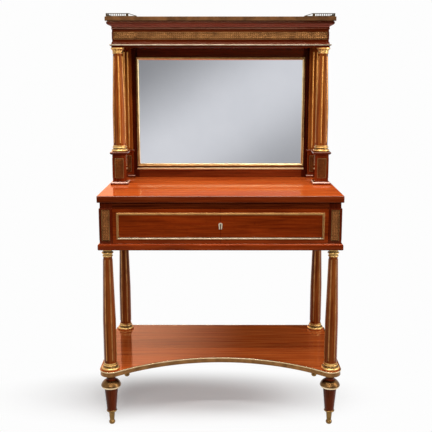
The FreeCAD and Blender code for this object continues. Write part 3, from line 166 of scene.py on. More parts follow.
def new_material(name: str) -> tuple[bpy.types.Material, bpy.types.NodeTree, bpy.types.NodeSocket]:
    """Start a node material that reads a piece's own coordinates.

    Args:
        name: The material's name.

    Returns:
        The material, its node tree and the coordinates.
    """
    material = bpy.data.materials.new(name)
    material.use_nodes = True
    tree = material.node_tree
    tree.nodes.clear()
    return material, tree, add_node(tree, "ShaderNodeTexCoord").outputs["Object"]


def deselect() -> None:
    """Deselect every object."""
    bpy.ops.object.select_all(action="DESELECT")


def pick(piece: bpy.types.Object) -> None:
    """Select one piece alone and make it the active one.

    Args:
        piece: The piece to select.
    """
    deselect()
    piece.select_set(True)
    bpy.context.view_layer.objects.active = piece


def enter_edit(piece: bpy.types.Object, mode: str) -> None:
    """Enter edit mode with nothing selected, and go back to object mode to select in code.

    Args:
        piece: The piece to edit.
        mode: What is selected next, as Blender's name.
    """
    pick(piece)
    bpy.ops.object.mode_set(mode="EDIT")
    bpy.ops.mesh.select_mode(type=mode)
    bpy.ops.mesh.select_all(action="DESELECT")
    leave_edit()


def edit_faces(piece: bpy.types.Object, wanted: Callable[[bpy.types.MeshPolygon], bool]) -> None:
    """Enter edit mode with only the wanted faces selected.

    Args:
        piece: The piece to edit.
        wanted: Says of a face whether it is selected.
    """
    enter_edit(piece, "FACE")
    for face in piece.data.polygons:
        face.select = wanted(face)
    bpy.ops.object.mode_set(mode="EDIT")


def edit_whole(piece: bpy.types.Object) -> None:
    """Enter edit mode with every face selected."""
    edit_faces(piece, lambda face: True)


def leave_edit() -> None:
    """Go back to object mode."""
    bpy.ops.object.mode_set(mode="OBJECT")


def settle(piece: bpy.types.Object) -> None:
    """Put a piece's place, turn and scale into its mesh."""
    pick(piece)
    bpy.ops.object.transform_apply(location=True, rotation=True, scale=True)


def modify(piece: bpy.types.Object, kind: str, **settings: Any) -> None:
    """Add a modifier and apply it.

    Args:
        piece: The piece to change.
        kind: Blender's name of the modifier.
        **settings: The modifier's properties.
    """
    pick(piece)
    modifier = piece.modifiers.new(kind.lower(), kind)
    for name, setting in settings.items():
        setattr(modifier, name, setting)
    bpy.ops.object.modifier_apply(modifier=modifier.name)


def smooth(piece: bpy.types.Object) -> None:
    """Shade a piece smooth, with its sharp edges kept."""
    pick(piece)
    bpy.ops.object.shade_smooth_by_angle(angle=math.radians(SMOOTH_ANGLE_DEG))


def joined(pieces: Sequence[bpy.types.Object], name: str) -> bpy.types.Object:
    """Join pieces into one object.

    Args:
        pieces: What is joined.
        name: The name of the result.

    Returns:
        The joined piece.
    """
    pick(pieces[0])
    for piece in pieces[1:]:
        piece.select_set(True)
    if len(pieces) > 1:
        bpy.ops.object.join()
    pieces[0].name = name
    pieces[0].data.name = name
    return pieces[0]


def copy_of(piece: bpy.types.Object, name: str) -> bpy.types.Object:
    """Copy a piece with a mesh of its own.

    Args:
        piece: What is copied.
        name: The copy's name.

    Returns:
        The copy, in the scene and on no body.
    """
    twin = bpy.data.objects.new(name, piece.data.copy())
    bpy.context.scene.collection.objects.link(twin)
    return twin


def welded_copy(node: bpy.types.Object, name: str) -> bpy.types.Object:
    """Copy a CAD node's loose triangles into one closed mesh.

    Args:
        node: The CAD node's object.
        name: The copy's name.

    Returns:
        The copy.
    """
    twin = copy_of(node, name)
    edit_whole(twin)
    bpy.ops.mesh.remove_doubles(threshold=WELD_MM * MM)
    bpy.ops.mesh.customdata_custom_splitnormals_clear()
    leave_edit()
    return twin


def plain_copy(node: bpy.types.Object, name: str) -> bpy.types.Object:
    """Copy a CAD node with each of its flat sides made one face.

    Args:
        node: The CAD node's object.
        name: The copy's name.

    Returns:
        The copy.
    """
    twin = welded_copy(node, name)
    edit_whole(twin)
    bpy.ops.mesh.dissolve_limited(angle_limit=math.radians(FLAT_ANGLE_DEG))
    leave_edit()
    return twin


def eased_copy(node: bpy.types.Object, name: str, ease: float, steps: int) -> bpy.types.Object:
    """Copy a CAD node with its sharp edges rounded a little.

    Args:
        node: The CAD node's object.
        name: The copy's name.
        ease: The width of the rounding in mm.
        steps: The number of its facets.

    Returns:
        The copy.
    """
    piece = plain_copy(node, name)
    round_edges(piece, ease, steps)
    return piece


def round_edges(piece: bpy.types.Object, ease: float, steps: int) -> None:
    """Round a piece's sharp edges and shade it smooth.

    Args:
        piece: The piece to finish.
        ease: The width of the rounding in mm.
        steps: The number of its facets.
    """
    modify(piece, "BEVEL", width=ease * MM, segments=steps, limit_method="ANGLE",
           angle_limit=math.radians(SMOOTH_ANGLE_DEG))
    modify(piece, "TRIANGULATE")
    smooth(piece)
    modify(piece, "WEIGHTED_NORMAL", keep_sharp=True)


def islands(node: bpy.types.Object) -> list[tuple[Vector, Vector]]:
    """Find the boxes of a CAD node's separate solids.

    Args:
        node: The CAD node's object.

    Returns:
        The lowest and highest corner of each solid, in order from left to right and front to back.
    """
    known = set(bpy.data.objects)
    twin = welded_copy(node, f"{node.name}_solids")
    edit_whole(twin)
    bpy.ops.mesh.separate(type="LOOSE")
    leave_edit()
    boxes = []
    for part in set(bpy.data.objects) - known:
        corners = [vertex.co for vertex in part.data.vertices]
        low = Vector([min(corner[axis] for corner in corners) for axis in range(3)])
        high = Vector([max(corner[axis] for corner in corners) for axis in range(3)])
        boxes.append((low, high))
        bpy.data.objects.remove(part)
    return sorted(boxes, key=lambda box: [round(length, SORT_DIGITS) for length in box[0]])


def box_of(node: str) -> tuple[Vector, Vector]:
    """Give the lowest and highest corner of a CAD node."""
    low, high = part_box(node)
    return Vector(low), Vector(high)


def sloped(face: bpy.types.MeshPolygon) -> bool:
    """Say whether a face slopes upward, as a rounded upper edge does."""
    return 1 - FACING_SHARE < face.normal.z < FACING_SHARE


def dress(piece: bpy.types.Object, material: bpy.types.Material) -> None:
    """Give every slot of a piece one material.

    Args:
        piece: The piece to dress.
        material: Its finish.
    """
    if not piece.material_slots:
        piece.data.materials.append(material)
    for slot in piece.material_slots:
        slot.material = material


def paint(piece: bpy.types.Object, finishes: Sequence[bpy.types.Material],
          chosen: Callable[[bpy.types.MeshPolygon], int]) -> None:
    """Give some faces of a dressed piece other finishes.

    Args:
        piece: The piece, which has one finish already.
        finishes: The other finishes.
        chosen: Says of a face which of them it gets, from one up, or zero if it stays as it is.
    """
    for finish in finishes:
        piece.data.materials.append(finish)
    for face in piece.data.polygons:
        face.material_index = chosen(face)


def mount(piece: bpy.types.Object, body: str, material: bpy.types.Material,
          stands_for: Iterable[str] = ()) -> bpy.types.Object:
    """Dress a new piece and fix it on its body.

    Args:
        piece: The finished piece.
        body: The CAD body that it rides on.
        material: Its finish.
        stands_for: The CAD nodes that it replaces.

    Returns:
        The piece.
    """
    dress(piece, material)
    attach(piece, body)
    for node in stands_for:
        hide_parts(node)
    LOG.info("%s rides on %s with %d faces", piece.name, body, len(piece.data.polygons))
    return piece


# Finishes

@dataclass(frozen=True)
class Pattern:
    """An uneven pattern in a surface: its size, how fine, rough and bent it is, the levels of its noise where
    it starts and where it is full, and how much it then covers."""

    width: float
    length: float
    detail: float
    roughness: float
    bend: float = 0.0
    level_shares: Sequence[float] = NOISE_SHARES
    full_share: float = 1.0

    def lay(self, tree: bpy.types.NodeTree, place: bpy.types.NodeSocket,
            grain: Grain = Grain.ACROSS) -> bpy.types.NodeSocket:
        """Add the pattern's noise to a material.

        Args:
            tree: The material's node tree.
            place: The piece's own coordinates.
            grain: Where the pattern's length runs.

        Returns:
            The noise.
        """
        steps = [1 / (self.width * MM)] * 3
        steps[grain.value] = 1 / (self.length * MM)
        scaled = add_node(tree, "ShaderNodeMapping", {"Vector": place, "Scale": steps}).outputs[0]
        return add_node(tree, "ShaderNodeTexNoise", {
            "Vector": scaled, "Scale": 1.0, "Detail": self.detail, "Roughness": self.roughness,
            "Distortion": self.bend}).outputs[0]


BROAD_BANDS = Pattern(width=42.0, length=620.0, detail=3.0, roughness=0.55, bend=0.6)
# Grain lines are about 1 mm apart on the real wood, and drawn coarser so that they show.
GRAIN_LINES = Pattern(
    width=5.0, length=170.0, detail=4.0, roughness=0.6, bend=0.3, level_shares=(0.36, 0.66),
    full_share=0.45)
PORES = Pattern(
    width=1.6, length=14.0, detail=2.0, roughness=0.5, level_shares=(0.60, 0.74), full_share=0.55)


@dataclass(frozen=True)
class PolishedMahogany:
    """French-polished mahogany: a red-brown wood under thin shellac, which deepens its colour and makes it
    shine, with long grain lines, broad lighter and darker bands and short dark pores."""

    name: str
    dark: str = "#3E0D03"
    mid: str = "#742609"
    pale: str = "#96421A"
    shine: float = 0.3
    # Shellac is a coloured resin, which warms what the polish reflects.
    shine_tint: str = "#FFB080"
    band: Pattern = BROAD_BANDS
    line: Pattern = GRAIN_LINES
    pore: Pattern = PORES
    roughness: float = 0.07
    # Along the grain lines the polish has this many times its roughness.
    rougher_factor: float = 1.35
    refraction: float = 1.48
    relief: float = 0.10
    pore_depth: float = 0.2
    # The dark joint between two leaves of veneer at the table's middle: its half width, or zero for none.
    joint: float = 0.0
    joint_share: float = 0.75

    def veneer_joint(self, tree: bpy.types.NodeTree, place: bpy.types.NodeSocket,
                     colour: bpy.types.NodeSocket) -> bpy.types.NodeSocket:
        """Darken the wood along an upright line at the table's middle.

        Args:
            tree: The material's node tree.
            place: The piece's own coordinates.
            colour: The wood's colour.

        Returns:
            The colour with the joint.
        """
        across = add_node(tree, "ShaderNodeSeparateXYZ", {0: place}).outputs[0]
        reach = add_node(tree, "ShaderNodeMath", {0: across}, operation="ABSOLUTE").outputs[0]
        level = add_node(tree, "ShaderNodeMapRange", {
            "Value": reach, **ends("From", (0.0, self.joint * MM)), **ends("To", (self.joint_share, 0.0))},
            interpolation_type="SMOOTHSTEP").outputs[0]
        return add_node(tree, "ShaderNodeMix", {
            0: level, 6: colour, 7: linear(self.dark)}, data_type="RGBA").outputs[2]

    def material(self, grain: Grain) -> bpy.types.Material:
        """Make the wood with its grain in one direction.

        Args:
            grain: Where the grain runs.

        Returns:
            The material.
        """
        material, tree, place = new_material(f"{self.name}_{grain.name.lower()}")
        patterns = (self.band, self.line, self.pore)
        noises = [pattern.lay(tree, place, grain) for pattern in patterns]
        colour = linear(self.dark)
        for pattern, noise, shade in zip(patterns, noises, (self.mid, self.pale, self.dark)):
            level = add_node(tree, "ShaderNodeMapRange", {
                "Value": noise, **ends("From", pattern.level_shares),
                "To Max": pattern.full_share}).outputs[0]
            colour = add_node(tree, "ShaderNodeMix", {
                0: level, 6: colour, 7: linear(shade)}, data_type="RGBA").outputs[2]
        if self.joint:
            colour = self.veneer_joint(tree, place, colour)
        gloss = add_node(tree, "ShaderNodeMapRange", {
            "Value": noises[1], **ends("From", NOISE_SHARES),
            **ends("To", (self.roughness, self.roughness * self.rougher_factor))}).outputs[0]
        bump = add_node(tree, "ShaderNodeBump", {
            "Strength": self.relief, "Distance": self.pore_depth * MM, "Height": noises[2]}).outputs[0]
        shader = add_node(tree, "ShaderNodeBsdfPrincipled", {
            "Base Color": colour, "Roughness": gloss, "IOR": self.refraction,
            "Specular IOR Level": self.shine, "Specular Tint": linear(self.shine_tint), "Normal": bump})
        add_node(tree, "ShaderNodeOutputMaterial", {"Surface": shader.outputs[0]})
        return material


@dataclass(frozen=True)
class WornOak:
    """Planed oak left bare inside the drawer and at the back: dull, pale brown, with coarse open grain."""

    name: str
    dark: str = "#7A5630"
    pale: str = "#B48A54"
    line: Pattern = Pattern(
        width=6.0, length=150.0, detail=5.0, roughness=0.65, bend=0.4, level_shares=(0.32, 0.68))
    roughness: float = 0.62
    refraction: float = 1.5
    relief: float = 0.3
    line_depth: float = 0.3

    def material(self, grain: Grain) -> bpy.types.Material:
        """Make the oak with its grain in one direction.

        Args:
            grain: Where the grain runs.

        Returns:
            The material.
        """
        material, tree, place = new_material(f"{self.name}_{grain.name.lower()}")
        line = self.line.lay(tree, place, grain)
        level = add_node(tree, "ShaderNodeMapRange", {
            "Value": line, **ends("From", self.line.level_shares)}).outputs[0]
        colour = add_node(tree, "ShaderNodeMix", {
            0: level, 6: linear(self.dark), 7: linear(self.pale)}, data_type="RGBA").outputs[2]
        bump = add_node(tree, "ShaderNodeBump", {
            "Strength": self.relief, "Distance": self.line_depth * MM, "Height": line}).outputs[0]
        shader = add_node(tree, "ShaderNodeBsdfPrincipled", {
            "Base Color": colour, "Roughness": self.roughness, "IOR": self.refraction, "Normal": bump})
        add_node(tree, "ShaderNodeOutputMaterial", {"Surface": shader.outputs[0]})
        return material


@dataclass(frozen=True)
class AgedBrass:
    """Cast or rolled brass with old gilding: warm and bright where wear has polished it, and brown in its
    hollows, partly from grime and partly as painted shade. The lock's filed steel is made the same way."""

    name: str
    bright: str
    dull: str
    dirt_and_shade: str = "#3A2410"
    patch: Pattern = Pattern(width=34.0, length=34.0, detail=4.0, roughness=0.6, level_shares=(0.34, 0.62))
    grit: Pattern = Pattern(width=2.0, length=2.0, detail=3.0, roughness=0.6)
    # Grime and painted shade darken hollows that are narrower than about this.
    dirt_and_shade_reach: float = 7.0
    dirt_and_shade_rays: int = 8
    # The shares of open sky at which a hollow is fully darkened by grime and painted shade,
    # and at which it is left bright.
    dirt_and_shade_shares: Sequence[float] = (0.45, 0.92)
    roughness: float = 0.27
    # Where it is dull, the metal has this many times its roughness.
    rougher_factor: float = 1.4
    relief: float = 0.12
    grit_depth: float = 0.2

    def material(self) -> bpy.types.Material:
        """Make the brass.

        Returns:
            The material.
        """
        material, tree, place = new_material(self.name)
        patch = self.patch.lay(tree, place)
        grit = self.grit.lay(tree, place)
        level = add_node(tree, "ShaderNodeMapRange", {
            "Value": patch, **ends("From", self.patch.level_shares)}).outputs[0]
        metal = add_node(tree, "ShaderNodeMix", {
            0: level, 6: linear(self.dull), 7: linear(self.bright)}, data_type="RGBA").outputs[2]
        # Hollows are darkened, partly as grime and partly as painted shade.
        sky = add_node(tree, "ShaderNodeAmbientOcclusion", {"Distance": self.dirt_and_shade_reach * MM},
                       samples=self.dirt_and_shade_rays, only_local=True).outputs["AO"]
        clean_and_unshaded = add_node(tree, "ShaderNodeMapRange", {
            "Value": sky, **ends("From", self.dirt_and_shade_shares)}).outputs[0]
        aged_and_shaded = add_node(tree, "ShaderNodeMix", {
            0: clean_and_unshaded, 6: linear(self.dirt_and_shade), 7: metal}, data_type="RGBA").outputs[2]
        gloss = add_node(tree, "ShaderNodeMapRange", {
            "Value": patch, **ends("From", NOISE_SHARES),
            **ends("To", (self.roughness * self.rougher_factor, self.roughness))}).outputs[0]
        bump = add_node(tree, "ShaderNodeBump", {
            "Strength": self.relief, "Distance": self.grit_depth * MM, "Height": grit}).outputs[0]
        shader = add_node(tree, "ShaderNodeBsdfPrincipled", {
            "Base Color": aged_and_shaded, "Metallic": 1.0, "Roughness": gloss, "Normal": bump})
        add_node(tree, "ShaderNodeOutputMaterial", {"Surface": shader.outputs[0]})
        return material


@dataclass(frozen=True)
class SilveredGlass:
    """Plate glass silvered on its back: a clear cool reflection with the faint clouding of old silver."""

    name: str
    clear: str = "#F2F3F6"
    cloudy: str = "#E6E8EC"
    cloud: Pattern = Pattern(width=140.0, length=140.0, detail=3.0, roughness=0.5)
    roughness: float = 0.02

    def material(self) -> bpy.types.Material:
        """Make the mirror.

        Returns:
            The material.
        """
        material, tree, place = new_material(self.name)
        cloud = self.cloud.lay(tree, place)
        colour = add_node(tree, "ShaderNodeMix", {
            0: cloud, 6: linear(self.clear), 7: linear(self.cloudy)}, data_type="RGBA").outputs[2]
        shader = add_node(tree, "ShaderNodeBsdfPrincipled", {
            "Base Color": colour, "Metallic": 1.0, "Roughness": self.roughness})
        add_node(tree, "ShaderNodeOutputMaterial", {"Surface": shader.outputs[0]})
        return material


class Palette:
    """Every finish of the table, made once."""

    def __init__(self) -> None:
        """Make the finishes."""
        self.make_woods()
        self.make_metals()
        self.mirror = SilveredGlass("silvered_plate_glass").material()

    def make_woods(self) -> None:
        """Make the mahogany of each kind of piece, and the oak."""
        plain = PolishedMahogany("french_polished_mahogany", shine=0.22)
        self.woods = {grain: plain.material(grain) for grain in Grain}
        self.moulding = PolishedMahogany(
            "moulded_mahogany", dark="#280601", mid="#521603", pale="#6A260A", shine=0.18,
            shine_tint="#FFC4A0").material(Grain.ACROSS)
        # A paler, pinker wood painted on the cornice's curves as a painted highlight.
        self.painted_highlight = PolishedMahogany(
            "painted_highlight_moulding_mahogany", dark="#843A2A", mid="#AE5A48", pale="#CC7660", shine=0.3,
            shine_tint="#FFC4A0").material(Grain.ACROSS)
        self.cap = PolishedMahogany(
            "polished_cap_mahogany", dark="#340A03", mid="#64200A", pale="#803412", shine=0.8,
            shine_tint="#FFE0D0").material(Grain.ACROSS)
        # A pale pink wood on sloped edge faces stands for a painted highlight.
        self.arris = PolishedMahogany(
            "painted_highlight_arris_mahogany", dark="#A06C58", mid="#C89884", pale="#E4BCA6", shine=0.5,
            shine_tint="#FFE0D0").material(Grain.ACROSS)
        self.frieze_wood = PolishedMahogany(
            "frieze_mahogany", dark="#2C0701", mid="#561804", pale="#6E2A0A",
            shine=0.14).material(Grain.ACROSS)
        self.post = PolishedMahogany(
            "post_mahogany", dark="#340903", mid="#621C08", pale="#7E3012",
            shine=0.2).material(Grain.UPRIGHT)
        self.stile = PolishedMahogany(
            "shaded_stile_mahogany", dark="#260602", mid="#4A1205", pale="#62220C",
            shine=0.12).material(Grain.UPRIGHT)
        broad = PolishedMahogany(
            "table_top_mahogany", dark="#8A2608", mid="#C24E18", pale="#DC7836", shine=0.02,
            line=replace(GRAIN_LINES, width=6, length=260), band=replace(BROAD_BANDS, width=34, length=480))
        self.top = broad.material(Grain.ACROSS)
        self.shelf = replace(
            broad, name="shelf_mahogany", dark="#8E2A0A", mid="#C8561E", pale="#E48542",
            shine=0.25).material(Grain.ACROSS)
        figured = PolishedMahogany(
            "figured_apron_mahogany", dark="#521103", mid="#90310B", pale="#AE4814", shine=0.2,
            band=replace(BROAD_BANDS, width=44, length=260))
        self.apron = figured.material(Grain.ACROSS)
        self.drawer = replace(figured, name="figured_drawer_mahogany", joint=1.8).material(Grain.ACROSS)
        self.lower = PolishedMahogany(
            "turned_mahogany", dark="#541905", mid="#963F10", pale="#B86828",
            shine=0.16).material(Grain.UPRIGHT)
        self.upper = PolishedMahogany(
            "turned_upper_mahogany", dark="#4C1606", mid="#8E3C11", pale="#C0742E",
            shine=0.2).material(Grain.UPRIGHT)
        oak = WornOak("planed_oak")
        self.oaks = {grain: oak.material(grain) for grain in Grain}

    def make_metals(self) -> None:
        """Make the brass of each kind of mount, and the steel."""
        # The gilt's hollows are darkened almost to black, as painted shade between its rings and as grime.
        self.gilt = AgedBrass(
            "aged_gilt_brass", bright="#E8BC76", dull="#CA9650", dirt_and_shade="#1C0E05", dirt_and_shade_reach=8, dirt_and_shade_rays=16,
            dirt_and_shade_shares=(0.66, 0.96), roughness=0.34, relief=0).material()
        # The collars and the shelf's bead are a pale, whitish brass as a painted highlight.
        self.collar = AgedBrass(
            "painted_highlight_collar_brass", bright="#EED6AE", dull="#D8B888", roughness=0.2, relief=0.03).material()
        self.dome = AgedBrass("browned_dome_brass", bright="#7A5832", dull="#54381E").material()
        self.cast = AgedBrass("cast_foot_brass", bright="#8E6C3E", dull="#644A26").material()
        # The escutcheon's whitish brass stands for a painted highlight as well as the metal's own pale
        # colour.
        self.pale = AgedBrass("painted_highlight_escutcheon_brass", bright="#F0E2C8", dull="#D8C4A0").material()
        drawn = AgedBrass("browned_strip_brass", bright="#B08450", dull="#90683E", relief=0.04)
        self.strip = drawn.material()
        # The sill and the frame's inner lip are a pale cream brass as a painted highlight.
        self.sill = replace(drawn, name="painted_highlight_sill_brass", bright="#F0DCA8", dull="#E0C48C").material()
        self.fillet = replace(drawn, name="drawn_fillet_brass", bright="#B07844", dull="#8E5C32").material()
        self.upper_fillet = replace(
            drawn, name="gilt_fillet_brass", bright="#CE8E48", dull="#AC6E36").material()
        self.bead = replace(drawn, name="gilt_bead_brass", bright="#AC7C48", dull="#96683C").material()
        # A greyish pale brass that stands for a painted highlight on the drawer's bead and on the
        # architrave's band.
        self.line = replace(drawn, name="painted_highlight_line_brass", bright="#A08E78", dull="#887660").material()
        self.fascia = replace(
            drawn, name="browned_fascia_brass", bright="#583A22", dull="#442C1A", roughness=0.36).material()
        self.band = AgedBrass("rolled_band_brass", bright="#94693E", dull="#6E4C2C", relief=0.06).material()
        self.milled = AgedBrass(
            "milled_brass", bright="#7E4E2A", dull="#623C20", roughness=0.34).material()
        self.pedestal_field = AgedBrass(
            "browned_pedestal_brass", bright="#6A3A18", dull="#522A12", roughness=0.34).material()
        self.frieze = AgedBrass(
            "milled_frieze_brass", bright="#7A522E", dull="#5A3A20", roughness=0.3).material()
        self.gallery = AgedBrass(
            "darkened_gallery_brass", bright="#443624", dull="#2A2015", roughness=0.4).material()
        self.steel = AgedBrass(
            "filed_lock_steel", bright="#8E8C88", dull="#5E5C58", roughness=0.35).material()


# Sub-assemblies

@dataclass
class SubAssembly:
    """A group of the table's pieces, with the loaded frame and the finishes that it is made from."""

    frame: dict[str, Any]
    palette: Palette

    def cad(self, node: str) -> bpy.types.Object:
        """Give a CAD node's object."""
        return self.frame["nodes"][node]

    def dress_nodes(self, nodes: Iterable[str], finish: bpy.types.Material) -> None:
        """Dress CAD nodes that keep their shape.

        Args:
            nodes: The names of the nodes.
            finish: What they are dressed with.
        """
        for node in nodes:
            dress(self.cad(node), finish)
            LOG.info("%s dressed with %s", node, finish.name)


@dataclass
class MilledPlate:
    """A brass plate with a plain rim and a field of small milled pyramids."""

    width: float
    height: float
    thickness: float
    rim: float
    recess: float
    pitch: float
    rim_slope: float = 0.3
    sheet: float = 0.4
    lift: float = 0.1

    def field_of_pyramids(self) -> bpy.types.Object:
        """Model the milled field as a sheet that faces the front.

        Returns:
            The sheet.
        """
        width, height = (size - 2 * self.rim * MM for size in (self.width, self.height))
        columns, rows = (max(LEAST_CELLS, round(size / (self.pitch * MM))) for size in (width, height))
        floor = -self.thickness * HALF + (self.recess - self.lift) * MM
        deselect()
        bpy.ops.mesh.primitive_grid_add(
            x_subdivisions=columns, y_subdivisions=rows, size=1, location=(0, floor, 0),
            rotation=(math.pi * HALF, 0, 0))
        sheet = bpy.context.object
        sheet.scale = (width, height, 1)
        settle(sheet)
        edit_whole(sheet)
        bpy.ops.mesh.poke(offset=self.recess * MM)
        leave_edit()
        modify(sheet, "SOLIDIFY", thickness=self.sheet * MM, offset=-1)
        return sheet

    def build(self, middle: Vector, facing: Facing, name: str) -> bpy.types.Object:
        """Model the plate at its place.

        Args:
            middle: The middle of the plate.
            facing: The side that it looks to.
            name: Its name.

        Returns:
            The plate.
        """
        deselect()
        bpy.ops.mesh.primitive_cube_add(size=1)
        plate = bpy.context.object
        plate.scale = (self.width, self.thickness, self.height)
        settle(plate)
        edit_faces(plate, lambda face: face.normal.y < -FACING_SHARE)
        bpy.ops.mesh.inset(thickness=(self.rim - self.rim_slope) * MM)
        bpy.ops.mesh.inset(thickness=self.rim_slope * MM, depth=-self.recess * MM)
        leave_edit()
        whole = joined([plate, self.field_of_pyramids()], name)
        whole.rotation_euler.z = math.radians(facing.value)
        whole.location = middle
        settle(whole)
        return whole


@dataclass
class MilledMounts(SubAssembly):
    """The milled brass plaques of the posts and pedestals, or the milled strips of the frieze."""

    node: str
    pitch: float
    rim: float
    recess: float = 1.5
    # The plaques above the table top are milled less deep and have a broader rim.
    upper_recess: float = 0.7
    upper_rim: float = 2.6

    def build(self, field_finish: bpy.types.Material, rim_finish: bpy.types.Material,
              upper_finish: bpy.types.Material) -> None:
        """Model a milled plate for each solid of the node.

        Args:
            field_finish: The brass of the milled field.
            rim_finish: The brass of the plain rim, polished by wear.
            upper_finish: The brass of the milled field above the table top.
        """
        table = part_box("table_top")[1][2]
        plates = []
        for number, (low, high) in enumerate(islands(self.cad(self.node))):
            size = high - low
            middle = (low + high) * HALF
            flat = size.y < size.x
            facing = Facing.FRONT if flat else Facing.RIGHT if middle.x > 0 else Facing.LEFT
            upper = middle.z > table
            plate = MilledPlate(
                width=size.x if flat else size.y, height=size.z, thickness=size.y if flat else size.x,
                rim=self.upper_rim if upper else self.rim,
                recess=self.upper_recess if upper else self.recess, pitch=self.pitch)
            plates.append(plate.build(middle, facing, f"{self.node}_plate_{number}"))
        whole = joined(plates, f"{self.node}_milled")
        mount(whole, "frame", field_finish, [self.node])
        largest = RIM_FACE_SHARE * (self.pitch * MM) ** 2
        paint(whole, (rim_finish, upper_finish),
              lambda face: 1 if face.area > largest else 2 if face.center.z > table else 0)


@dataclass
class LeafRing(SubAssembly):
    """A ring of small upright leaves chased on the bell of each upper capital."""

    count: int = 12
    foot_share: float = 0.28
    head_share: float = 0.80
    foot_radius: float = 18.6
    width: float = 8.4
    thickness: float = 1.1
    # The leaf's lowest step stands upright. Each step has its share of the leaf's height.
    first_rise_share: float = 0.35
    rise_shares: Sequence[float] = (0.35, 0.20, 0.10)
    # Each further step's lean outward, and its width as a share of the step below.
    leans: Sequence[float] = (1.4, 2.2, 0.6)
    width_shares: Sequence[float] = (0.90, 0.62, 0.40)

    def leaf(self, foot: float, rise: float) -> bpy.types.Object:
        """Model one leaf in front of the upright axis.

        Args:
            foot: The height of its foot.
            rise: Its height.

        Returns:
            The leaf.
        """
        first = rise * self.first_rise_share
        deselect()
        bpy.ops.mesh.primitive_plane_add(
            size=1, location=(0, -self.foot_radius * MM, foot + first * HALF),
            rotation=(math.pi * HALF, 0, 0))
        leaf = bpy.context.object
        leaf.scale = (self.width * MM, first, 1)
        settle(leaf)
        top = foot + first
        for rise_share, lean, width_share in zip(self.rise_shares, self.leans, self.width_shares):
            self.select_head(leaf, top)
            bpy.ops.mesh.extrude_region_move(
                TRANSFORM_OT_translate={"value": (0, -lean * MM, rise * rise_share)})
            bpy.ops.transform.resize(value=(width_share, 1, 1))
            leave_edit()
            top += rise * rise_share
        modify(leaf, "SOLIDIFY", thickness=self.thickness * MM, offset=0)
        modify(leaf, "SUBSURF", levels=1, render_levels=1)
        return leaf

    def select_head(self, leaf: bpy.types.Object, top: float) -> None:
        """Enter edit mode with the leaf's upper edge selected.

        Args:
            leaf: The leaf.
            top: The height of that edge.
        """
        enter_edit(leaf, "EDGE")
        for edge in leaf.data.edges:
            heights = [leaf.data.vertices[number].co.z for number in edge.vertices]
            edge.select = min(heights) > top - WELD_MM * MM
        bpy.ops.object.mode_set(mode="EDIT")

    def build(self) -> None:
        """Model the rings of leaves of both capitals."""
        for side, (low, high) in zip(("left", "right"), islands(self.cad("upper_capitals"))):
            axis = (low + high) * HALF
            height = high.z - low.z
            foot = low.z + height * self.foot_share
            pattern = self.leaf(foot, height * (self.head_share - self.foot_share))
            leaves = []
            for number in range(self.count):
                leaf = copy_of(pattern, f"leaf_{side}_{number}")
                leaf.rotation_euler.z = math.tau * number / self.count
                leaf.location = (axis.x, axis.y, 0)
                settle(leaf)
                leaves.append(leaf)
            bpy.data.objects.remove(pattern)
            ring = joined(leaves, f"capital_leaves_{side}")
            smooth(ring)
            mount(ring, "frame", self.palette.gilt)


@dataclass
class Joinery(SubAssembly):
    """The boards and mouldings, whose sharp edges are eased as a cabinetmaker's plane leaves them."""

    across: Sequence[str] = (
        "drawer_top_rail", "back_rail", "soffit_board", "top_board", "mirror_bottom_rail", "mirror_top_rail")
    deep: Sequence[str] = ("side_rail_left", "side_rail_right")
    upright: Sequence[str] = ("pedestal_left", "pedestal_right", "pilaster_pedestals")
    posts: Sequence[str] = ("post_front_left", "post_front_right", "post_rear_left", "post_rear_right")
    stiles: Sequence[str] = ("mirror_stile_left", "mirror_stile_right")
    # Pieces whose edges have worn rounder.
    worn: Sequence[str] = ("architrave_moulding", "cornice_moulding", "pedestal_mouldings", "table_top")
    # The cornice gets a painted highlight between these shares of its height.
    painted_highlight_shares: Sequence[float] = (0.19, 0.42)
    ease: float = 0.7
    worn_ease: float = 1.8
    ease_steps: int = 2

    def eased(self, node: str, finish: bpy.types.Material, body: str = "frame") -> bpy.types.Object:
        """Copy a board with its edges eased.

        Args:
            node: The board's CAD node.
            finish: Its wood.
            body: The body that it rides on.

        Returns:
            The eased board.
        """
        ease = self.worn_ease if node in self.worn else self.ease
        board = eased_copy(self.cad(node), f"{node}_eased", ease, self.ease_steps)
        return mount(board, body, finish, [node])

    def cornice(self) -> None:
        """Ease the cornice and paint a paler, redder wood on its curves as a painted highlight."""
        cornice = self.eased("cornice_moulding", self.palette.moulding)
        low, high = box_of("cornice_moulding")
        foot, head = (low.z + (high.z - low.z) * share for share in self.painted_highlight_shares)
        # The band between foot and head gets the painted highlight.
        paint(cornice, [self.palette.painted_highlight], lambda face: int(foot < face.center.z < head))

    def build(self) -> None:
        """Ease the boards of the frame, the table top and the drawer front."""
        palette = self.palette
        for nodes, finish in ((self.across, palette.woods[Grain.ACROSS]),
                              (self.deep, palette.woods[Grain.DEEP]),
                              (self.upright, palette.woods[Grain.UPRIGHT]),
                              (self.posts, palette.post), (self.stiles, palette.stile),
                              (("frieze_boards",), palette.frieze_wood),
                              (("architrave_moulding",), palette.moulding)):
            for node in nodes:
                self.eased(node, finish)
        caps = self.eased("pedestal_mouldings", palette.cap)
        # The sloped faces of the caps and bases get a pale pink painted highlight.
        paint(caps, [palette.arris], lambda face: int(sloped(face)))
        self.cornice()
        self.eased("drawer_front", palette.drawer, "drawer")
        self.eased("apron_moulding", palette.apron)
        top = self.eased("table_top", palette.top)
        paint(top, (palette.woods[Grain.ACROSS], palette.cap),
              lambda face: 2 if sloped(face) else int(face.normal.z < SIDE_SHARE))


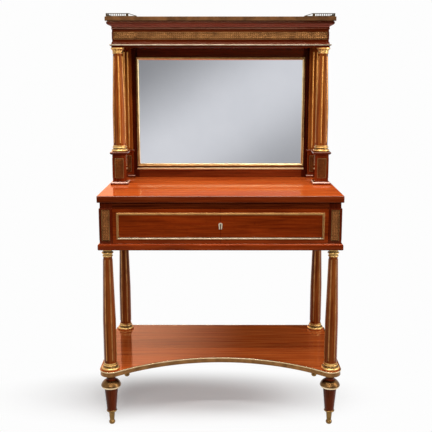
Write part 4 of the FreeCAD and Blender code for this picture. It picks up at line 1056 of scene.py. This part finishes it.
@dataclass
class BrassTrim(SubAssembly):
    """The drawn brass strips: the mirror's frame, the drawer's bead, the band round the shelf with its fine
    bead, and the rounded bands on the cornice and the architrave."""

    ease: float = 0.9
    frame_ease: float = 1.4
    ease_steps: int = 2
    # The plain strip below the mirror's frame, and the frame's lowest member, end this far above its foot.
    sill_reach: float = 8.0
    member_reach: float = 24.0
    # The frame's inner lip, which gets a painted highlight, lies further than this inside the edge of the
    # glass.
    lip: float = 1.0
    band_rim: float = 4.5
    band_sink: float = 1.0
    band_ease: float = 1.5
    # The band's outer wall is further than this from the shelf board.
    wall_gap: float = 1.5
    # The drawer's bead has a painted highlight on top of its lowest member, this far up.
    bead_painted_highlight: float = 10.0
    bead_height: float = 3.6
    bead_reach: float = 1.4
    # A moulding's outermost edge is within this of its box.
    edge_gap: float = 0.5
    cornice_band: float = 2.2
    architrave_band: float = 1.2
    band_steps: int = 4

    def shelf_band(self) -> None:
        """Model the shelf's band with a raised edge along its top and bottom."""
        band = plain_copy(self.cad("shelf_edge_band"), "shelf_edge_band_beaded")
        self.shelf_bead(band)
        edit_faces(band, self.outside)
        bpy.ops.mesh.inset(thickness=self.band_rim * MM, depth=-self.band_sink * MM)
        leave_edit()
        round_edges(band, self.band_ease, self.ease_steps)
        mount(band, "frame", self.palette.band, ["shelf_edge_band"])

    def shelf_bead(self, band: bpy.types.Object) -> None:
        """Model the fine half-round bead along the upper edge of the shelf's band.

        Args:
            band: The plain band.
        """
        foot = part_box("shelf_edge_band")[1][2] - self.bead_height * MM
        bead = copy_of(band, "shelf_edge_bead")
        edit_faces(bead, lambda face: not self.outside(face))
        bpy.ops.mesh.delete(type="FACE")
        bpy.ops.mesh.select_all(action="SELECT")
        bpy.ops.mesh.bisect(plane_co=(0, 0, foot), plane_no=(0, 0, 1), clear_inner=True)
        leave_edit()
        self.thicken(bead, self.bead_reach)
        mount(bead, "frame", self.palette.collar)

    def thicken(self, wall: bpy.types.Object, thickness: float) -> None:
        """Make a rounded band of a thin wall.

        Args:
            wall: The wall.
            thickness: The band's thickness in mm.
        """
        modify(wall, "SOLIDIFY", thickness=thickness * MM, offset=1, use_even_offset=True)
        round_edges(wall, thickness * ROUND_SHARE, self.band_steps)

    def outside(self, face: bpy.types.MeshPolygon) -> bool:
        """Say whether a face is on the outer wall of the shelf's band.

        Args:
            face: A face of the band.

        Returns:
            Whether it stands upright and away from the shelf board.
        """
        near = self.cad("shelf_board").closest_point_on_mesh(face.center)[1]
        upright = abs(face.normal.z) < 1 - FACING_SHARE
        return upright and (near - face.center).length > self.wall_gap * MM

    def edge_band(self, node: str, thickness: float, finish: bpy.types.Material) -> None:
        """Model the rounded brass band that covers a moulding's outermost upright edge on three sides.

        Args:
            node: The moulding's CAD node.
            thickness: The band's thickness in mm.
            finish: The brass.
        """
        low, high = box_of(node)
        gap = self.edge_gap * MM
        band = plain_copy(self.cad(node), f"{node}_band")

        def covered(face: bpy.types.MeshPolygon) -> bool:
            """Say whether a face is on the moulding's outermost upright edge."""
            outer = face.center.y < low.y + gap or abs(face.center.x) > high.x - gap
            return outer and abs(face.normal.z) < SIDE_SHARE

        edit_faces(band, lambda face: not covered(face))
        bpy.ops.mesh.delete(type="FACE")
        leave_edit()
        self.thicken(band, thickness)
        mount(band, "frame", finish)

    def mirror_frame(self) -> None:
        """Model the mirror's frame, with a painted highlight on its lip and its sill, and a browned foot and
        sides.
        """
        rim = eased_copy(self.cad("mirror_frame"), "mirror_frame_eased", self.frame_ease, self.ease_steps)
        mount(rim, "frame", self.palette.strip, ["mirror_frame"])
        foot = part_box("mirror_frame")[0][2]
        low, high = box_of("mirror_glass")

        def member(face: bpy.types.MeshPolygon) -> int:
            """Number the member of the frame that a face is on.

            Args:
                face: A face of the frame.

            Returns:
                One on the sill and the lip, two on the lowest member and the sides, and zero elsewhere.
            """
            place = face.center
            inside = min(place.x - low.x, high.x - place.x, place.z - low.z, high.z - place.z)
            if place.z < foot + self.sill_reach * MM or inside > self.lip * MM:
                return 1
            return 2 if place.z < foot + self.member_reach * MM or abs(place.x) > high.x else 0

        paint(rim, (self.palette.sill, self.palette.band), member)

    def build(self) -> None:
        """Model the strips."""
        bead = eased_copy(
            self.cad("drawer_bead_frame"), "drawer_bead_frame_eased", self.ease, self.ease_steps)
        mount(bead, "drawer", self.palette.bead, ["drawer_bead_frame"])
        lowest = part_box("drawer_bead_frame")[0][2] + self.bead_painted_highlight * MM
        # The upward faces of the bead's lowest member get a painted highlight.
        paint(bead, [self.palette.line], lambda face: int(face.center.z < lowest and face.normal.z > 0))
        self.mirror_frame()
        self.shelf_band()
        self.edge_band("cornice_moulding", self.cornice_band, self.palette.fascia)
        # The architrave's band gets the pale brass of a painted highlight.
        self.edge_band("architrave_moulding", self.architrave_band, self.palette.line)


@dataclass
class Turnings(SubAssembly):
    """The turned columns and feet, the pilasters and the shelf, with the brass mounts on them, and the
    drawer's escutcheon. They keep their CAD shape and get their finish here, the feet as painted copies."""

    lower: Sequence[str] = (
        "column_front_left", "column_front_right", "column_rear_left", "column_rear_right")
    upper: Sequence[str] = ("upper_column_left", "upper_column_right", "pilasters")
    feet: Sequence[str] = ("foot_front_left", "foot_front_right", "foot_rear_left", "foot_rear_right")
    gilt: Sequence[str] = ("column_bases", "column_capitals", "upper_capitals", "upper_column_bases")
    # The dome starts this far below the collar's upper edge.
    collar_overlap: float = 0.5
    # The dome of a foot is wider than this share of the foot, and its neck is narrower.
    dome_share: float = 0.55

    def foot(self, node: str) -> None:
        """Copy a foot and bronze the dome above its collar.

        Args:
            node: The foot's CAD node.
        """
        low, high = box_of(node)
        axis = (low + high) * HALF
        neck = (high.x - low.x) * HALF * self.dome_share
        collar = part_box("foot_collars")[1][2] - self.collar_overlap * MM
        piece = mount(copy_of(self.cad(node), f"{node}_turned"), "frame",
                      self.palette.woods[Grain.UPRIGHT], [node])
        paint(piece, [self.palette.dome], lambda face: int(
            face.center.z > collar and (face.center - axis).to_2d().length > neck))

    def build(self) -> None:
        """Bronze the feet and dress the CAD nodes that stay."""
        for node in self.feet:
            self.foot(node)
        palette = self.palette
        for nodes, finish in ((self.lower, palette.lower), (self.upper, palette.upper),
                              (self.gilt, palette.gilt), (("foot_collars",), palette.collar),
                              (("foot_sabots",), palette.cast), (("column_fillets",), palette.fillet),
                              (("upper_fillets",), palette.upper_fillet), (("escutcheon",), palette.pale),
                              (("shelf_board",), palette.shelf)):
            self.dress_nodes(nodes, finish)


@dataclass
class Inside(SubAssembly):
    """The drawer box, its runners, the back board, the lock, the mirror and the gallery."""

    across: Sequence[str] = ("drawer_back", "drawer_bottom")
    deep: Sequence[str] = ("drawer_side_left", "drawer_side_right", "drawer_runners")
    upright: Sequence[str] = ("back_board",)
    lock: Sequence[str] = ("lock_case", "lock_bolt")

    def build(self) -> None:
        """Dress the nodes."""
        palette = self.palette
        for nodes, finish in ((self.across, palette.oaks[Grain.ACROSS]),
                              (self.deep, palette.oaks[Grain.DEEP]),
                              (self.upright, palette.oaks[Grain.UPRIGHT]), (self.lock, palette.steel),
                              (("mirror_glass",), palette.mirror), (("gallery",), palette.gallery)):
            self.dress_nodes(nodes, finish)


@dataclass(frozen=True)
class Softbox:
    """A lamp with a flat white front: its place, its width and height, its power in watts and its aim."""

    name: str
    place: Sequence[float]
    size: Sequence[float]
    power: float
    # Unless they say otherwise, the lamps look at the table's middle, a little below the apron.
    aim: Sequence[float] = (0, 0, 634.25)

    def hang(self) -> None:
        """Hang the lamp so that it looks at its aim."""
        data = bpy.data.lights.new(self.name, "AREA")
        data.shape = "RECTANGLE"
        data.size, data.size_y = (length * MM for length in self.size)
        data.energy = self.power
        lamp = bpy.data.objects.new(self.name, data)
        lamp.location = [length * MM for length in self.place]
        aim = Vector([length * MM for length in self.aim])
        lamp.rotation_euler = (aim - lamp.location).to_track_quat("-Z", "Y").to_euler()
        bpy.context.scene.collection.objects.link(lamp)


@dataclass
class Studio:
    """The camera, the lamps, the floor, and the grey card and warm sheet that only reflections show."""

    lens: float = 58.33
    camera_y: float = -2633
    camera_z: float = 1268.5
    pitch_deg: float = 9.52
    shift_share_x: float = -0.0104
    shift_share_y: float = -0.05
    white: str = "#FDFDFD"
    ambient_share: float = 0.2
    floor_size: float = 14000
    floor_paper: str = "#F7F7F7"
    # The floor is matt in a shaded patch that lies a little to the left of the table, with a glow, a painted
    # light, that rises towards the patch's rim and fades the shadow out, and it is white beyond the patch.
    floor_glow_share: float = 0.2
    shadow_reach: float = 200
    fade_reach: float = 880
    shadow_squeeze: float = 3.1
    shadow_place: Sequence[float] = (-150, 15, 0)
    lamps: Sequence[Softbox] = (
        Softbox("overhead_softbox", place=(0, -420, 3050), size=(1800, 700), power=48, aim=(0, -420, 0)),
        Softbox("strip_light", place=(0, -1150, 2500), size=(2600, 60), power=18),
        Softbox("front_softbox", place=(-250, -2700, 1960), size=(1800, 600), power=26),
        Softbox("side_softbox", place=(2300, -700, 1400), size=(600, 1700), power=26))
    card_place: Sequence[float] = (0, -3200, 958)
    card_size: Sequence[float] = (5200, 1900)
    card_paper: str = "#FAFBFF"
    # What the mirror shows of the card, as half its width and half its height, and the soft rim round it.
    card_window: Sequence[float] = (723, 459)
    card_rim: float = 140
    card_dark_share: float = 0.03
    # Along the window's diagonal, whose ends are at two and minus two, the grey rises and then falls again.
    rise_span_shares: Sequence[float] = (-2.0, 0.0)
    rise_grey_shares: Sequence[float] = (0.31, 0.76)
    fall_span_shares: Sequence[float] = (0.3, 2.0)
    fall_grey_shares: Sequence[float] = (0.0, 0.33)
    # The warm sheet stands behind the table, bright at its left, and the polished shelf shows it.
    sheet_place: Sequence[float] = (0, 1500, 800)
    sheet_size: Sequence[float] = (3000, 900)
    sheet_paper: str = "#FFBC95"
    sheet_bright: float = -560
    sheet_dark: float = 200
    sheet_level: float = 2.7

    def camera(self) -> None:
        """Place the camera at the photograph's viewing angle."""
        data = bpy.data.cameras.new("camera")
        data.lens = self.lens
        data.shift_x = self.shift_share_x
        data.shift_y = self.shift_share_y
        data.clip_end = self.floor_size * MM * 2
        camera = bpy.data.objects.new("camera", data)
        camera.location = (0, self.camera_y * MM, self.camera_z * MM)
        camera.rotation_euler = (math.radians(RIGHT_ANGLE_DEG - self.pitch_deg), 0, 0)
        bpy.context.scene.collection.objects.link(camera)
        bpy.context.scene.camera = camera

    def shown_rays(self, tree: bpy.types.NodeTree) -> bpy.types.NodeSocket:
        """Tell rays that show the background from rays that light the object.

        Args:
            tree: The node tree to add to.

        Returns:
            One for camera, glossy and transmission rays, and zero for the others.
        """
        path = add_node(tree, "ShaderNodeLightPath")
        seen = add_node(tree, "ShaderNodeMath", {
            0: path.outputs["Is Camera Ray"], 1: path.outputs["Is Glossy Ray"]}, operation="MAXIMUM")
        return add_node(tree, "ShaderNodeMath", {
            0: seen.outputs[0], 1: path.outputs["Is Transmission Ray"]}, operation="MAXIMUM").outputs[0]

    def world(self) -> None:
        """Make a white surround that lights the object only a little."""
        world = bpy.data.worlds.new("surround")
        world.use_nodes = True
        tree = world.node_tree
        tree.nodes.clear()
        strength = add_node(tree, "ShaderNodeMapRange", {
            "Value": self.shown_rays(tree), **ends("To", (self.ambient_share, 1.0))})
        light = add_node(tree, "ShaderNodeBackground", {
            "Color": linear(self.white), "Strength": strength.outputs[0]})
        add_node(tree, "ShaderNodeOutputWorld", {"Surface": light.outputs[0]})
        bpy.context.scene.world = world

    def floor(self) -> None:
        """Lay a pale matt floor whose glow, a painted light, turns it white beyond a patch near the table, so
        that the shadow shows only there.
        """
        deselect()
        bpy.ops.mesh.primitive_plane_add(size=self.floor_size * MM)
        floor = bpy.context.object
        floor.name = "floor"
        material, tree, place = new_material("matt_paper_floor")
        centred = add_node(tree, "ShaderNodeVectorMath", {
            0: place, 1: [length * MM for length in self.shadow_place]}, operation="SUBTRACT").outputs[0]
        squeezed = add_node(tree, "ShaderNodeVectorMath", {
            0: centred, 1: (1, self.shadow_squeeze, 1)}, operation="MULTIPLY").outputs[0]
        reach = add_node(tree, "ShaderNodeVectorMath", {0: squeezed}, operation="LENGTH").outputs["Value"]
        fade = add_node(tree, "ShaderNodeMapRange", {
            "Value": reach, **ends("From", (self.shadow_reach * MM, self.fade_reach * MM)),
            **ends("To", (self.floor_glow_share, 1.0))}, interpolation_type="SMOOTHSTEP")
        matt = add_node(tree, "ShaderNodeBsdfDiffuse", {"Color": linear(self.floor_paper)})
        glow = add_node(tree, "ShaderNodeEmission", {
            "Color": linear(self.white), "Strength": self.shown_rays(tree)})
        mixed = add_node(tree, "ShaderNodeMixShader", {
            0: fade.outputs[0], 1: matt.outputs[0], 2: glow.outputs[0]})
        add_node(tree, "ShaderNodeOutputMaterial", {"Surface": mixed.outputs[0]})
        dress(floor, material)

    def stand_card(self, name: str, place: Sequence[float], size: Sequence[float],
                   facing: CardFacing) -> bpy.types.Object:
        """Stand a card that only reflections show.

        Args:
            name: The card's name.
            place: Its middle in mm.
            size: Its width and height in mm.
            facing: The side that it looks to.

        Returns:
            The card.
        """
        deselect()
        bpy.ops.mesh.primitive_plane_add(
            size=1, location=[length * MM for length in place],
            rotation=(facing.value * math.pi * HALF, 0, 0))
        card = bpy.context.object
        card.name = name
        card.scale = (size[0] * MM, size[1] * MM, 1)
        pick(card)
        bpy.ops.object.transform_apply(location=False, rotation=False, scale=True)
        card.visible_camera = False
        card.visible_diffuse = False
        card.visible_shadow = False
        return card

    def sheet(self) -> None:
        """Stand a warm sheet behind the table, which fades from left to right, for the shelf's polish."""
        sheet = self.stand_card("warm_sheet", self.sheet_place, self.sheet_size, CardFacing.FRONT)
        material, tree, place = new_material("warm_paper_sheet")
        across = add_node(tree, "ShaderNodeSeparateXYZ", {0: place}).outputs[0]
        level = add_node(tree, "ShaderNodeMapRange", {
            "Value": across, **ends("From", (self.sheet_bright * MM, self.sheet_dark * MM)),
            **ends("To", (self.sheet_level, 0.0))}, interpolation_type="SMOOTHSTEP").outputs[0]
        glow = add_node(tree, "ShaderNodeEmission", {"Color": linear(self.sheet_paper), "Strength": level})
        add_node(tree, "ShaderNodeOutputMaterial", {"Surface": glow.outputs[0]})
        dress(sheet, material)

    def card_edge(self, tree: bpy.types.NodeTree, along: bpy.types.NodeSocket,
                  half: float) -> bpy.types.NodeSocket:
        """Fade the card's grey out beyond its window in one direction.

        Args:
            tree: The card's node tree.
            along: The place on the card in this direction.
            half: Half the window's size in mm.

        Returns:
            One in the window and zero beyond its rim.
        """
        reach = add_node(tree, "ShaderNodeMath", {0: along}, operation="ABSOLUTE").outputs[0]
        return add_node(tree, "ShaderNodeMapRange", {
            "Value": reach, **ends("From", (half * MM, (half + self.card_rim) * MM)),
            **ends("To", (1.0, 0.0))}, interpolation_type="SMOOTHSTEP").outputs[0]

    def card(self) -> None:
        """Stand a dark card behind the camera, with a grey window for the mirror, paler on one diagonal."""
        card = self.stand_card("grey_card", self.card_place, self.card_size, CardFacing.BACK)
        material, tree, place = new_material("grey_paper_card")
        parts = add_node(tree, "ShaderNodeSeparateXYZ", {0: place})
        across, down = (
            add_node(tree, "ShaderNodeMath", {0: parts.outputs[axis], 1: 1 / (half * MM)},
                     operation="MULTIPLY").outputs[0]
            for axis, half in enumerate(self.card_window))
        slope = add_node(tree, "ShaderNodeMath", {0: across, 1: down}, operation="ADD").outputs[0]
        rise, fall = (
            add_node(tree, "ShaderNodeMapRange", {"Value": slope, **ends("From", span), **ends("To", greys)},
                     interpolation_type="SMOOTHSTEP").outputs[0]
            for span, greys in ((self.rise_span_shares, self.rise_grey_shares),
                                (self.fall_span_shares, self.fall_grey_shares)))
        grey = add_node(tree, "ShaderNodeMath", {0: rise, 1: fall}, operation="SUBTRACT").outputs[0]
        edges = [self.card_edge(tree, parts.outputs[axis], half)
                 for axis, half in enumerate(self.card_window)]
        window = add_node(tree, "ShaderNodeMath", {
            0: edges[0], 1: edges[1]}, operation="MULTIPLY").outputs[0]
        level = add_node(tree, "ShaderNodeMix", {
            0: window, 2: self.card_dark_share, 3: grey}, data_type="FLOAT").outputs[0]
        glow = add_node(tree, "ShaderNodeEmission", {"Color": linear(self.card_paper), "Strength": level})
        add_node(tree, "ShaderNodeOutputMaterial", {"Surface": glow.outputs[0]})
        dress(card, material)

    def build(self) -> None:
        """Set up the whole studio."""
        bpy.context.scene.view_settings.view_transform = "Standard"
        self.camera()
        self.world()
        self.floor()
        self.card()
        self.sheet()
        for lamp in self.lamps:
            lamp.hang()
        LOG.info("studio is set")


def main() -> None:
    """Load the frame, build and dress each sub-assembly and set up the studio."""
    logging.basicConfig(level=logging.INFO, format="%(name)s: %(message)s")
    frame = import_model()
    palette = Palette()
    Turnings(frame, palette).build()
    Joinery(frame, palette).build()
    BrassTrim(frame, palette).build()
    MilledMounts(frame, palette, "milled_plaques", pitch=5.6, rim=1.8).build(
        palette.milled, palette.strip, palette.pedestal_field)
    MilledMounts(frame, palette, "frieze_strips", pitch=7.3, rim=2.0, upper_recess=1.5, upper_rim=2.0).build(
        palette.frieze, palette.frieze, palette.frieze)
    LeafRing(frame, palette).build()
    Inside(frame, palette).build()
    Studio().build()


if __name__ == "__main__":
    main()
